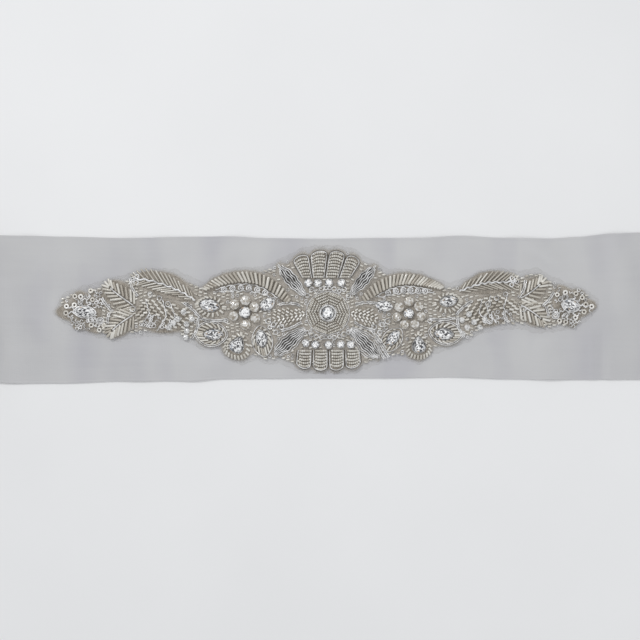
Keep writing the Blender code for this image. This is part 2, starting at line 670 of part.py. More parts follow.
def make_flower(name, stone_name, beads, material):
    """Round beads set in a ring about a stone, as domes on one scalloped pad."""
    stone = stone_by_name(stone_name)
    hole = stone.length / 2.0 + STONE_CLEARANCE

    def bead_top(x, y):
        top = 0.0
        for bead in beads:
            away = math.hypot(x - bead.x, y - bead.y) / (bead.size / 2.0)
            top = max(top, math.sqrt(max(1.0 - away ** 2, 0.0)))
        return top

    def edge_reach(angle):
        reach = hole + FLOWER_COLLAR
        for bead in beads:
            far = math.hypot(bead.x - stone.x, bead.y - stone.y)
            turn = angle - math.atan2(bead.y - stone.y, bead.x - stone.x)
            span = (bead.size / 2.0) ** 2 - (far * math.sin(turn)) ** 2
            if span > 0.0 and math.cos(turn) > 0.0:
                reach = max(reach, far * math.cos(turn) + math.sqrt(span))
        return reach

    def place(turn, across, height):
        angle = turn * math.tau
        radius = hole + (edge_reach(angle) - hole) * across
        x = stone.x + radius * math.cos(angle)
        y = stone.y + radius * math.sin(angle)
        if 0.0 < across < 1.0:
            height += BEAD_RISE * bead_top(x, y)
        return x, y, PAD_BASE + height

    ring_pad(name, FLOWER_POINTS, FLOWER_PROFILE, place, material)


def make_stone(row, material):
    """A cut stone: a foot, a girdle and a flat table, each level the outline at its own scale."""
    count = 10 if row.shape == "round" else 12
    levels = ((0.0, STONE_FOOT), (STONE_GIRDLE * row.height, 1.0), (row.height, STONE_TABLE))
    rings = []
    for height, scale in levels:
        ring = []
        for step in range(count):
            x, y = stone_outline(row.shape, row.length * scale, row.width * scale, step / count)
            ring.append((*turned(x, y, row.turn, (row.x, row.y)), PAD_BASE + height))
        rings.append(ring)
    finish(row.name, loft(rings), material, smooth_angle=10.0)


clear_scene()
sash = bpy.data.collections.new("bridal_sash")
bpy.context.scene.collection.children.link(sash)

satin = make_material("satin_ribbon", (0.72, 0.72, 0.74), 0.38)
netting = make_material("beige_net", (0.66, 0.60, 0.53), 0.85)
beading = make_material("silver_lined_beads", (0.70, 0.67, 0.60), 0.25, 0.4)
cording = make_material("silver_cord", (0.66, 0.65, 0.63), 0.35, 0.6)
crystal = make_material("cut_crystal", (0.86, 0.88, 0.90), 0.05)
clear_bead = make_material("clear_bead", (0.80, 0.78, 0.72), 0.08)

make_ribbon_front(satin)
make_tie("ribbon_left_tie", -1.0, satin)
make_tie("ribbon_right_tie", 1.0, satin)
make_net(netting)
make_disc(beading)
make_fan("top_fan", TOP_FAN, beading)
make_fan("bottom_fan", BOTTOM_FAN, beading)
for spray_name, spray_rows in SPRAYS.items():
    make_spray(spray_name, spray_rows, cording)
make_arc_wing("arc_wing_left", ARC_WINGS["arc_wing_left"], 1.0, beading)
make_arc_wing("arc_wing_right", ARC_WINGS["arc_wing_right"], -1.0, beading)
for leaf_name, leaf_rows in LEAVES.items():
    make_leaf(leaf_name, leaf_rows, beading)
for leaf_row in STONE_LEAVES:
    make_stone_leaf(leaf_row, beading)
for spray_name, (end_stone, end_reaches) in END_SPRAYS.items():
    make_end_spray(spray_name, end_stone, end_reaches, beading)
for flower_name, (flower_stone, flower_beads) in FLOWERS.items():
    make_flower(flower_name, flower_stone, flower_beads, clear_bead)
for stone_row in STONES:
    make_stone(stone_row, crystal)
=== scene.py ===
"""Looks for the bridal sash: satin ribbon, trimmed net, sewn beads, cords and cut stones."""

import math
import random
from collections import namedtuple

import bmesh
import bpy
import numpy as np
from mathutils import Matrix, Vector
from mathutils.bvhtree import BVHTree


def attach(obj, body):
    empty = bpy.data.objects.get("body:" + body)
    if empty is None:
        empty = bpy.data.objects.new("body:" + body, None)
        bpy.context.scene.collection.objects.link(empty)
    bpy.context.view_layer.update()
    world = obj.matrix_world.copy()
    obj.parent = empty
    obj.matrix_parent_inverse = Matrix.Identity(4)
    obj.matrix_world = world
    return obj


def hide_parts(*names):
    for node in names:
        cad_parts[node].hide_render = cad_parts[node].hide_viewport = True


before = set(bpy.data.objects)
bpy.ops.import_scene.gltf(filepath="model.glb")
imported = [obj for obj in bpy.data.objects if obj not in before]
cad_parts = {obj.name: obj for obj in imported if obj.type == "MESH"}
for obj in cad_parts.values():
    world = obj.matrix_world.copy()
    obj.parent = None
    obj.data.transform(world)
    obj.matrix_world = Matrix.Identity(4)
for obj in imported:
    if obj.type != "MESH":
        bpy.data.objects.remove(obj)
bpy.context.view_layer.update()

MM = 0.001
chance = random.Random(7)

# The ribbon, in millimetres
SASH_LENGTH = 2500.0
RIBBON_WIDTH = 100.0
RIBBON_TOP = 1.2
CLOTH_WALL = 0.9
FRONT_HALF = 233.0
FOLD_INNER_X = 240.0
FOLD_PITCH = 3.0
FOLD_RUNS = 7
FOLD_OUTER_X = (SASH_LENGTH / 2.0 + (FOLD_RUNS - 1) * FOLD_INNER_X) / FOLD_RUNS
CUT_END_INSET = 11.0
CUT_END_SLANT = 21.0
RIBBON_STEP = 4.0
RIBBON_STRIPS = 26

# Heights on the ribbon
NET_TOP = 2.5
PAD_BASE = 2.8
DISC_Y = -3.4
DISC_RADIUS = 14.3

EdgeRow = namedtuple("EdgeRow", "x front back")
RIBBON_EDGES = (
    EdgeRow(-233, -50.0, 49.4), EdgeRow(-205, -51.0, 48.8), EdgeRow(-178, -50.7, 48.2),
    EdgeRow(-135, -49.3, 47.2), EdgeRow(-92, -49.3, 48.2), EdgeRow(-70, -48.0, 48.4),
    EdgeRow(-38, -47.6, 47.2), EdgeRow(-5, -47.3, 46.8), EdgeRow(38, -47.4, 47.3),
    EdgeRow(62, -47.0, 47.4), EdgeRow(90, -46.6, 48.8), EdgeRow(120, -48.0, 47.4),
    EdgeRow(150, -48.4, 46.9), EdgeRow(168, -48.4, 48.0), EdgeRow(192, -48.2, 50.2),
    EdgeRow(212, -48.4, 51.0), EdgeRow(233, -49.4, 50.0),
)

CreaseRow = namedtuple("CreaseRow", "x y end_x end_y width rise")
RIBBON_CREASES = (
    CreaseRow(-131, 50, -124, 30, 9, 0.8), CreaseRow(-112, 50, -116, 32, 8, 0.6),
    CreaseRow(-60, 50, -66, 34, 8, 0.6), CreaseRow(68, 50, 60, 32, 9, 0.7),
    CreaseRow(128, 50, 150, 30, 9, 0.9), CreaseRow(196, 50, 205, 4, 10, 0.8),
    CreaseRow(222, 30, 226, -44, 9, 0.6), CreaseRow(-205, 46, -198, -8, 10, 0.7),
    CreaseRow(-222, 10, -216, -50, 9, 0.7), CreaseRow(-128, -50, -120, -30, 10, 0.8),
    CreaseRow(-92, -50, -80, -36, 8, 0.6), CreaseRow(96, -50, 88, -34, 9, 0.6),
    CreaseRow(150, -48, 143, -24, 10, 0.8), CreaseRow(186, -50, 182, -22, 9, 0.6),
)

RunRow = namedtuple("RunRow", "shift skew")
FOLD_RUN_ROWS = (
    RunRow(0.0, 0.0), RunRow(-0.6, 0.4), RunRow(0.5, -0.5), RunRow(-0.8, 0.6),
    RunRow(0.6, -0.8), RunRow(-0.5, 0.9), RunRow(0.3, -0.6),
)

NetRow = namedtuple("NetRow", "x front back")
NET_OUTLINE = (
    NetRow(-186, -4.6, -1.2), NetRow(-177, -11.0, 11.5), NetRow(-164, -17.8, 15.4),
    NetRow(-152, -20.6, 18.6), NetRow(-143, -22.6, 21.4), NetRow(-132, -20.4, 23.6),
    NetRow(-118, -19.4, 26.8), NetRow(-104, -18.8, 26.6), NetRow(-94, -23.6, 22.0),
    NetRow(-84, -28.6, 17.6), NetRow(-75, -27.6, 23.4), NetRow(-68, -35.6, 26.4),
    NetRow(-58, -38.4, 27.8), NetRow(-48, -35.2, 27.6), NetRow(-40, -38.4, 29.4),
    NetRow(-33, -37.4, 33.4), NetRow(-25, -41.0, 36.6), NetRow(-18, -44.4, 40.8),
    NetRow(-7, -44.6, 42.4), NetRow(7, -44.6, 42.4), NetRow(18, -44.4, 40.2),
    NetRow(25, -41.6, 35.0), NetRow(33, -38.4, 31.8), NetRow(40, -35.6, 26.6),
    NetRow(52, -35.4, 26.6), NetRow(62, -38.2, 25.2), NetRow(71, -31.4, 20.8),
    NetRow(82, -28.0, 17.4), NetRow(93, -23.8, 20.4), NetRow(104, -17.4, 25.6),
    NetRow(116, -14.8, 27.2), NetRow(130, -14.2, 25.4), NetRow(141, -17.2, 27.4),
    NetRow(152, -16.4, 21.2), NetRow(164, -14.6, 16.6), NetRow(174, -9.4, 12.6),
    NetRow(183, -1.6, 6.4),
)

BorderRow = namedtuple("BorderRow", "root_x root_y tip_x tip_y")
FANS = {
    "top_fan": (
        BorderRow(-17.6, 20.6, -24.0, 30.6), BorderRow(-10.4, 20.4, -12.4, 35.0),
        BorderRow(-2.0, 20.4, 0.4, 37.0), BorderRow(7.4, 20.4, 12.2, 34.8),
        BorderRow(15.6, 20.6, 22.0, 29.8)),
    "bottom_fan": (
        BorderRow(21.8, -28.4, 22.8, -36.6), BorderRow(11.2, -28.3, 11.4, -39.0),
        BorderRow(0.3, -28.3, 0.4, -39.8), BorderRow(-10.4, -28.3, -10.8, -39.2),
        BorderRow(-20.8, -28.4, -22.0, -37.0)),
}
FAN_SCALLOP = 3.2

SpineRow = namedtuple("SpineRow", "x y half")
SPRAYS = {
    "spray_upper_left": (SpineRow(-15.6, 8.4, 1.4), SpineRow(-21.4, 15.2, 4.2),
                         SpineRow(-27.4, 22.2, 4.6), SpineRow(-33.6, 29.2, 1.2)),
    "spray_upper_right": (SpineRow(15.6, 9.4, 1.4), SpineRow(21.0, 15.6, 4.2),
                          SpineRow(26.4, 21.8, 4.4), SpineRow(32.4, 28.4, 1.2)),
    "spray_lower_left": (SpineRow(-15.4, -14.0, 1.2), SpineRow(-22.4, -19.6, 4.2),
                         SpineRow(-29.4, -25.6, 4.8), SpineRow(-36.2, -32.0, 1.2)),
    "spray_lower_right": (SpineRow(15.4, -14.0, 1.1), SpineRow(21.6, -20.1, 4.0),
                          SpineRow(28.0, -26.8, 4.6), SpineRow(34.9, -34.0, 1.2)),
}
SPRAY_LOOPS = (3, 3, 4, 5)
ARC_WINGS = {
    "arc_wing_left": (
        SpineRow(-83.4, 12.4, 1.6), SpineRow(-76.0, 16.6, 3.4), SpineRow(-66.0, 19.8, 3.9),
        SpineRow(-55.0, 20.8, 4.0), SpineRow(-43.6, 18.4, 4.0), SpineRow(-33.2, 11.8, 3.8),
        SpineRow(-26.2, 4.4, 2.2)),
    "arc_wing_right": (
        SpineRow(76.8, 13.4, 1.6), SpineRow(70.4, 16.0, 3.2), SpineRow(62.4, 18.2, 3.8),
        SpineRow(52.8, 19.4, 4.0), SpineRow(42.4, 17.8, 4.0), SpineRow(32.2, 12.8, 3.8),
        SpineRow(23.8, 5.6, 2.2)),
}
CHEVRONS = {
    "chevron_left": (SpineRow(-15.4, -3.6, 1.8), SpineRow(-22.4, -4.8, 5.8),
                     SpineRow(-30.0, -6.4, 7.0), SpineRow(-37.0, -8.0, 3.8)),
    "chevron_right": (SpineRow(15.4, -3.6, 1.8), SpineRow(21.4, -4.8, 5.6),
                      SpineRow(27.4, -6.2, 6.6), SpineRow(33.4, -8.2, 3.6)),
}

# Leaf spines run from the root to the tip
OUTER_LEAVES = {
    "outer_leaf_upper_left": (SpineRow(-130.6, 1.4, 1.4), SpineRow(-137.6, 6.4, 7.2),
                              SpineRow(-144.4, 11.6, 8.0), SpineRow(-149.0, 16.4, 3.4)),
    "outer_leaf_lower_left": (SpineRow(-131.0, -4.6, 1.2), SpineRow(-137.6, -8.8, 6.2),
                              SpineRow(-143.2, -13.2, 6.8), SpineRow(-147.4, -17.8, 3.0)),
    "outer_leaf_upper_right": (SpineRow(129.4, 6.4, 1.2), SpineRow(135.6, 10.0, 6.2),
                               SpineRow(141.2, 14.4, 7.0), SpineRow(145.6, 18.8, 3.0)),
    "outer_leaf_lower_right": (SpineRow(129.6, 2.2, 1.2), SpineRow(136.0, -1.6, 6.0),
                               SpineRow(141.6, -5.6, 7.0), SpineRow(146.2, -9.6, 3.0)),
}
FEATHER_LEAVES = {
    "feather_leaf_left": (
        SpineRow(-89.6, 5.4, 1.0), SpineRow(-98.0, 10.4, 6.0), SpineRow(-108.0, 14.8, 8.2),
        SpineRow(-121.0, 18.8, 6.2), SpineRow(-132.0, 19.4, 2.6)),
    "feather_leaf_right": (
        SpineRow(89.0, 11.4, 1.0), SpineRow(98.0, 14.8, 5.4), SpineRow(108.0, 17.0, 7.6),
        SpineRow(118.0, 17.4, 6.2), SpineRow(127.0, 17.8, 2.2)),
}
MID_FIELDS = {
    "mid_field_left": (SpineRow(-91.0, -7.4, 3.4), SpineRow(-105.0, -6.2, 10.2),
                       SpineRow(-119.0, -3.8, 10.8), SpineRow(-129.0, -2.4, 3.4)),
    "mid_field_right": (SpineRow(92.0, -6.2, 3.4), SpineRow(104.0, -2.8, 9.6),
                        SpineRow(117.0, 0.0, 9.0), SpineRow(128.0, 1.8, 2.8)),
}

StoneRow = namedtuple("StoneRow", "name shape x y length width turn height")
STONES = (
    StoneRow("stone_centre", "round", 0.0, DISC_Y, 8.8, 8.8, 0, 4.4),
    StoneRow("stone_top_1", "round", -13.1, 16.9, 5.6, 5.6, 0, 3.2),
    StoneRow("stone_top_2", "round", -6.9, 16.9, 5.6, 5.6, 0, 3.2),
    StoneRow("stone_top_3", "round", 0.8, 17.0, 5.6, 5.6, 0, 3.2),
    StoneRow("stone_top_4", "round", 9.2, 16.9, 5.6, 5.6, 0, 3.2),
    StoneRow("stone_bottom_1", "round", -14.9, -23.6, 5.4, 5.4, 0, 3.2),
    StoneRow("stone_bottom_2", "round", -8.4, -24.6, 5.5, 5.5, 0, 3.2),
    StoneRow("stone_bottom_3", "round", 0.3, -24.9, 5.5, 5.5, 0, 3.2),
    StoneRow("stone_bottom_4", "round", 8.7, -24.5, 5.5, 5.5, 0, 3.2),
    StoneRow("stone_bottom_5", "round", 15.5, -24.7, 5.5, 5.5, 0, 3.2),
    StoneRow("stone_flower_left", "round", -56.0, -3.0, 7.8, 7.8, 0, 3.9),
    StoneRow("stone_flower_right", "round", 54.5, -3.8, 6.9, 6.9, 0, 3.7),
    StoneRow("stone_left_1", "marquise", -163.8, -2.7, 14.2, 7.1, -4, 3.6),
    StoneRow("stone_left_2", "marquise", -79.9, 1.8, 12.8, 7.9, -10, 3.8),
    StoneRow("stone_left_3", "marquise", -77.1, -17.9, 12.6, 7.2, -2, 3.6),
    StoneRow("stone_left_4", "pear", -61.0, -24.6, 10.8, 9.2, 62, 3.8),
    StoneRow("stone_left_5", "marquise", -44.8, -20.6, 11.5, 7.4, 100, 3.6),
    StoneRow("stone_left_6", "marquise", -40.9, 2.4, 11.5, 8.0, 32, 3.8),
    StoneRow("stone_right_1", "marquise", 163.6, 1.6, 11.5, 7.8, -12, 3.6),
    StoneRow("stone_right_2", "marquise", 81.3, 4.6, 11.5, 6.8, 10, 3.6),
    StoneRow("stone_right_3", "marquise", 78.2, -17.6, 12.8, 7.6, -5, 3.6),
    StoneRow("stone_right_4", "pear", 61.3, -24.6, 10.8, 8.6, 96, 3.8),
    StoneRow("stone_right_5", "marquise", 43.9, -20.4, 12.0, 6.6, 50, 3.6),
    StoneRow("stone_right_6", "marquise", 37.9, 1.4, 12.0, 7.3, -8, 3.8),
)
MARQUISE_SHARPNESS = 1.35
PEAR_SHARPNESS = 0.8
PEAR_WIDEST = 0.8

RingRow = namedtuple("RingRow", "name stone shape x y length width turn rays cords sweep")
STONE_LEAVES = (
    RingRow("stone_leaf_2_left", "stone_left_2", "marquise", -79.0, 1.0, 21.6, 14.4, -6, 20, 0, 0.05),
    RingRow("stone_leaf_3_left", "stone_left_3", "marquise", -78.8, -17.4, 22.8, 17.4, -4, 17, 2, 0.05),
    RingRow("stone_leaf_4_left", "stone_left_4", "pear", -61.0, -25.2, 19.0, 18.2, 74, 20, 0, 0.05),
    RingRow("stone_leaf_5_left", "stone_left_5", "marquise", -44.2, -22.4, 21.4, 13.8, 100, 15, 1, 0.045),
    RingRow("stone_leaf_2_right", "stone_right_2", "marquise", 80.6, 3.4, 21.0, 13.8, 6, 20, 0, -0.05),
    RingRow("stone_leaf_3_right", "stone_right_3", "marquise", 79.4, -16.8, 23.4, 16.6, -6, 17, 2, -0.05),
    RingRow("stone_leaf_4_right", "stone_right_4", "pear", 61.3, -25.2, 19.0, 17.0, 92, 20, 0, 0.05),
    RingRow("stone_leaf_5_right", "stone_right_5", "marquise", 43.1, -21.5, 19.2, 12.8, 50, 14, 1, 0.045),
)

BeadRow = namedtuple("BeadRow", "x y size")
FLOWERS = {
    "flower_left": (
        BeadRow(-63.1, 2.4, 7.2), BeadRow(-55.6, 5.0, 7.2), BeadRow(-49.6, 0.6, 7.2),
        BeadRow(-48.9, -6.8, 7.0), BeadRow(-55.4, -11.2, 7.2), BeadRow(-63.6, -5.4, 7.0)),
    "flower_right": (
        BeadRow(48.0, 0.6, 6.8), BeadRow(54.6, 4.4, 6.8), BeadRow(61.2, 1.0, 6.8),
        BeadRow(62.8, -5.6, 6.6), BeadRow(46.4, -6.0, 6.6), BeadRow(51.4, -11.2, 6.6),
        BeadRow(58.6, -10.8, 6.6)),
}

# Ring beads at the two ends, each with painted shade in its hole
END_RINGS = {
    "end_spray_left": (
        BeadRow(-160.0, 11.5, 3.9), BeadRow(-170.6, 7.8, 3.8), BeadRow(-166.6, 7.6, 3.9),
        BeadRow(-170.8, 2.0, 3.9), BeadRow(-176.2, 1.1, 3.8), BeadRow(-176.5, -3.4, 3.9),
        BeadRow(-159.5, -11.6, 3.8), BeadRow(-155.1, -11.4, 3.9), BeadRow(-151.1, -11.8, 3.8),
        BeadRow(-154.2, -14.8, 3.6), BeadRow(-158.6, 5.6, 3.6)),
    "end_spray_right": (
        BeadRow(160.0, 10.4, 3.8), BeadRow(167.2, 9.6, 3.8), BeadRow(171.4, 7.0, 3.8),
        BeadRow(173.8, 2.4, 3.9), BeadRow(177.8, 1.0, 3.8), BeadRow(172.6, -2.6, 3.8),
        BeadRow(166.8, -6.4, 3.9), BeadRow(160.4, -9.4, 3.8), BeadRow(156.2, -8.6, 3.8),
        BeadRow(154.6, 9.0, 3.6), BeadRow(153.6, -4.6, 3.6)),
}


def ease(value, low, high):
    share = min(max((value - low) / (high - low), 0.0), 1.0)
    return share * share * (3.0 - 2.0 * share)


def along_rows(rows, share):
    """A smooth curve through rows of equal importance; share runs from 0 to 1."""
    place = min(max(share, 0.0), 1.0) * (len(rows) - 1)
    index = min(int(place), len(rows) - 2)
    step = place - index
    picked = [rows[min(max(index + offset, 0), len(rows) - 1)] for offset in (-1, 0, 1, 2)]
    values = []
    for before, start, end, after in zip(*picked):
        out = (end - before) / 2.0
        into = (after - start) / 2.0
        values.append((2 * step ** 3 - 3 * step ** 2 + 1) * start
                      + (step ** 3 - 2 * step ** 2 + step) * out
                      + (3 * step ** 2 - 2 * step ** 3) * end
                      + (step ** 3 - step ** 2) * into)
    return type(rows[0])(*values)


def table_at(rows, key):
    if key <= rows[0][0]:
        return rows[0]
    for low, high in zip(rows, rows[1:]):
        if key <= high[0]:
            share = ease(key, low[0], high[0])
            return type(low)(*(a + (b - a) * share for a, b in zip(low, high)))
    return rows[-1]


def net_margin(x, y):
    """Distance outside the net's outline, negative inside it."""
    if x < NET_OUTLINE[0].x:
        return NET_OUTLINE[0].x - x
    if x > NET_OUTLINE[-1].x:
        return x - NET_OUTLINE[-1].x
    row = table_at(NET_OUTLINE, x)
    return max(row.front - y, y - row.back)


def ribbon_height(x, y):
    """The ribbon's upper face: flat under the net, with soft creases beyond it."""
    rise = 0.0
    for crease in RIBBON_CREASES:
        line = Vector((crease.end_x - crease.x, crease.end_y - crease.y))
        share = Vector((x - crease.x, y - crease.y)).dot(line) / line.length_squared
        share = min(max(share, 0.0), 1.0)
        away = math.hypot(x - crease.x - share * line.x, y - crease.y - share * line.y)
        rise = max(rise, crease.rise * math.exp(-(away / crease.width) ** 2))
    ripple = 0.16 * math.sin(x / 9.0 + 1.3 * math.sin(y / 21.0)) * math.sin(y / 15.0 + x / 47.0)
    return RIBBON_TOP + (rise + ripple) * ease(net_margin(x, y), 2.0, 9.0)


def spine_frame(rows, share):
    """Point, direction along, direction across and half width on a spine."""
    row = along_rows(rows, share)
    ahead = along_rows(rows, share + 0.01)
    behind = along_rows(rows, share - 0.01)
    along = Vector((ahead.x - behind.x, ahead.y - behind.y)).normalized()
    return Vector((row.x, row.y)), along, Vector((-along.y, along.x)), max(row.half, 0.3)


def spine_length(rows):
    spots = [spine_frame(rows, step / 24)[0] for step in range(25)]
    return sum((b - a).length for a, b in zip(spots, spots[1:]))


def rotated(vector, degrees):
    angle = math.radians(degrees)
    return Vector((vector.x * math.cos(angle) - vector.y * math.sin(angle),
                   vector.x * math.sin(angle) + vector.y * math.cos(angle)))


def stone_outline(shape, length, width, turn):
    angle = turn * math.tau
    if shape == "round":
        return Vector((0.5 * length * math.cos(angle), 0.5 * width * math.sin(angle)))
    if shape == "marquise":
        side = math.copysign(abs(math.sin(angle)) ** MARQUISE_SHARPNESS, math.sin(angle))
        return Vector((0.5 * length * math.cos(angle), 0.5 * width * side))
    swell = math.sin(angle) * abs(math.sin(angle / 2.0)) ** PEAR_SHARPNESS / PEAR_WIDEST
    return Vector((0.5 * length * math.cos(angle), 0.5 * width * swell))


def stone_named(name):
    return next(row for row in STONES if row.name == name)


# Shader maths

class Field:
    """A value or colour that varies over a surface, used in sums like a number."""

    def __init__(self, finish, socket):
        self.finish = finish
        self.socket = socket

    def joined(self, kind, first, second):
        return self.finish.add("ShaderNodeMath", {"operation": kind}, {0: first, 1: second})

    def __add__(self, other):
        return self.joined("ADD", self, other)

    def __radd__(self, other):
        return self.joined("ADD", other, self)

    def __sub__(self, other):
        return self.joined("SUBTRACT", self, other)

    def __rsub__(self, other):
        return self.joined("SUBTRACT", other, self)

    def __mul__(self, other):
        return self.joined("MULTIPLY", self, other)

    def __rmul__(self, other):
        return self.joined("MULTIPLY", other, self)

    def __pow__(self, other):
        return self.joined("POWER", self, other)


class Finish:
    """A material and the few calls that its nodes are added with."""

    def __init__(self, name):
        self.material = bpy.data.materials.new(name)
        self.material.use_nodes = True
        self.nodes = self.material.node_tree.nodes
        self.links = self.material.node_tree.links
        self.shader = self.nodes["Principled BSDF"]

    def feed(self, socket, value):
        if isinstance(value, Field):
            self.links.new(value.socket, socket)
        elif isinstance(value, tuple) and len(value) == 3 and socket.type == "RGBA":
            socket.default_value = (*value, 1.0)
        else:
            socket.default_value = value

    def add(self, kind, settings, inputs, output=0):
        node = self.nodes.new(kind)
        for key, value in settings.items():
            if key == "stops":
                ramp = node.color_ramp
                while len(ramp.elements) < len(value):
                    ramp.elements.new(0.5)
                for element, (position, colour) in zip(ramp.elements, value):
                    element.position = position
                    element.color = (*colour, 1.0)
            else:
                setattr(node, key, value)
        for key, value in inputs.items():
            self.feed(node.inputs[key], value)
        return Field(self, node.outputs[output])

    def place(self):
        return self.add("ShaderNodeTexCoord", {}, {}, "Object")

    def mapped(self, scale, turn=0.0):
        return self.add("ShaderNodeMapping", {},
                        {"Vector": self.place(), "Scale": scale, "Rotation": (0.0, 0.0, turn)})

    def noise(self, scale, detail=3.0, where=None):
        return self.add("ShaderNodeTexNoise", {},
                        {"Vector": where or self.place(), "Scale": scale, "Detail": detail})

    def own(self, name):
        return self.add("ShaderNodeAttribute", {"attribute_name": name}, {}, "Fac")

    def range(self, value, low, high, to_low=0.0, to_high=1.0):
        return self.add("ShaderNodeMapRange", {"clamp": True},
                        {"Value": value, "From Min": low, "From Max": high,
                         "To Min": to_low, "To Max": to_high})

    def blend(self, share, first, second):
        return self.add("ShaderNodeMix", {"data_type": "RGBA"}, {0: share, 6: first, 7: second}, 2)

    def ramp(self, value, stops):
        return self.add("ShaderNodeValToRGB", {"stops": stops}, {"Fac": value})

    def bump(self, height, distance, strength=1.0, under=None):
        inputs = {"Height": height, "Distance": distance, "Strength": strength}
        if under:
            inputs["Normal"] = under
        return self.add("ShaderNodeBump", {}, inputs)

    def sockets(self, values):
        for key, value in values.items():
            self.feed(self.shader.inputs[key], value)
        return self.material


def satin_finish():
    """Satin: long floats along the ribbon, cloudy sheen, soft bands of painted shade and a firm woven edge.
    """
    satin = Finish("ribbon satin")
    weave = satin.add("ShaderNodeUVMap", {"uv_map": "ribbon"}, {})
    across = satin.add("ShaderNodeSeparateXYZ", {}, {"Vector": weave}, "X")
    along = satin.add("ShaderNodeSeparateXYZ", {}, {"Vector": weave}, "Y")
    stretched = satin.add("ShaderNodeCombineXYZ", {}, {"X": across * 2600.0, "Y": along * 140.0})
    floats = satin.noise(1.0, 2.0, stretched)
    rib_vector = satin.add("ShaderNodeCombineXYZ", {}, {"X": across * 60.0, "Y": along * 2400.0})
    ribs = satin.noise(1.0, 1.0, rib_vector)
    cloud = satin.noise(20.0, 1.5)
    slub = satin.noise(1.0, 2.0, satin.add("ShaderNodeCombineXYZ", {},
                                           {"X": across * 300.0, "Y": along * 18.0}))
    edge = satin.add("ShaderNodeMath", {"operation": "ABSOLUTE"}, {0: across})
    selvedge = satin.range(edge, 0.0484, 0.0489)
    line = satin.range(edge, 0.0478, 0.0482) * (1.0 - satin.range(edge, 0.0484, 0.0487))
    # The shade noise paints soft, darker and cooler bands into the colour: painted shade of gentle
    # undulations.
    shade = satin.noise(1.0, 1.5, satin.mapped((30.0, 13.0, 20.0), 0.2))
    tint = satin.blend(satin.range(cloud, 0.32, 0.68), (0.455, 0.453, 0.460), (0.498, 0.496, 0.497))
    tint = satin.blend(satin.range(shade, 0.48, 0.70) * 0.8, tint, (0.405, 0.400, 0.425))
    tint = satin.blend(satin.range(slub, 0.3, 0.8) * 0.2, tint, (0.53, 0.53, 0.53))
    tint = satin.blend(line * 0.15, tint, (0.40, 0.40, 0.42))
    thread = floats * 0.6 + ribs * 0.3 + selvedge * 0.5
    return satin.sockets({
        "Base Color": tint,
        "Roughness": satin.range(cloud + slub * 0.4, 0.3, 1.0, 0.34, 0.48),
        "Sheen Weight": 0.25,
        "Sheen Roughness": 0.4,
        "Specular IOR Level": 0.55,
        "Anisotropic": 0.45,
        "Normal": satin.bump(thread, 0.00018, 0.5),
    })


def net_finish():
    """Sheer beige net: small round holes in thread, frayed thin at the trimmed edge."""
    net = Finish("beige net")
    cells = net.add("ShaderNodeTexVoronoi", {"feature": "DISTANCE_TO_EDGE"},
                    {"Vector": net.place(), "Scale": 1050.0, "Randomness": 0.35})
    hole = net.range(cells, 0.16, 0.26)
    patch = net.noise(90.0)
    rim = net.own("rim")
    tint = net.blend(net.range(patch, 0.35, 0.7), (0.47, 0.44, 0.40), (0.56, 0.54, 0.51))
    tint = net.blend(rim, tint, (0.52, 0.48, 0.425))
    cover = (1.0 - hole * 0.6) * (0.05 + rim * 0.62 + net.range(patch, 0.55, 0.7) * 0.06)
    return net.sockets({
        "Base Color": tint,
        "Roughness": 0.85,
        "Alpha": cover,
        "Normal": net.bump(cells, 0.0003, 0.7),
    })


def padding_finish(name, deep, middle, pale):
    """The stitched ground between the beads: mottled threads, with painted shade where they sink."""
    ground = Finish(name)
    threads = ground.add("ShaderNodeTexWave", {"wave_type": "BANDS"},
                         {"Vector": ground.place(), "Scale": 420.0, "Distortion": 6.0,
                          "Detail": 3.0, "Detail Scale": 1.5})
    patch = ground.noise(260.0, 4.0)
    # Colour and bump share the threads and patches, so the sunken parts are darker: painted shade.
    tint = ground.ramp(patch * 0.65 + threads * 0.35,
                       ((0.25, deep), (0.5, middle), (0.75, pale)))
    return ground.sockets({
        "Base Color": tint,
        "Roughness": 0.8,
        "Normal": ground.bump(threads + patch, 0.0005, 0.8),
    })


def bead_finish(name, deep, middle, pale, roughness):
    """Silver-lined glass: each bead its own tone, mottled where the lining shows through."""
    glass = Finish(name)
    tone = glass.own("tone")
    lining = glass.noise(900.0, 2.0)
    mixed = tone * 0.7 + lining * 0.3
    # The near-black first stop is painted shade, taken by the beads sunk in the ring beads' holes.
    tint = glass.ramp(mixed, ((0.0, (0.06, 0.042, 0.03)), (0.2, deep), (0.45, middle), (0.75, pale)))
    return glass.sockets({
        "Base Color": tint,
        "Metallic": 0.12,
        "Roughness": glass.range(lining, 0.3, 0.7, roughness - 0.02, roughness + 0.14),
        "Coat Weight": 0.4,
        "Coat Roughness": 0.1,
        "Normal": glass.bump(lining, 0.0002, 0.25),
    })


def cord_finish():
    """Silver bullion cord: close turns of fine wire."""
    cord = Finish("silver bullion cord")
    turns = cord.add("ShaderNodeTexWave", {"wave_type": "BANDS", "bands_direction": "DIAGONAL"},
                     {"Vector": cord.place(), "Scale": 900.0, "Distortion": 1.5})
    tarnish = cord.noise(300.0)
    tint = cord.ramp(tarnish, ((0.34, (0.44, 0.43, 0.42)), (0.48, (0.74, 0.735, 0.725)),
                               (0.60, (0.95, 0.945, 0.94))))
    return cord.sockets({
        "Base Color": tint,
        "Metallic": 0.3,
        "Roughness": cord.range(turns, 0.0, 1.0, 0.22, 0.42),
        "Normal": cord.bump(turns, 0.00025, 0.6),
    })


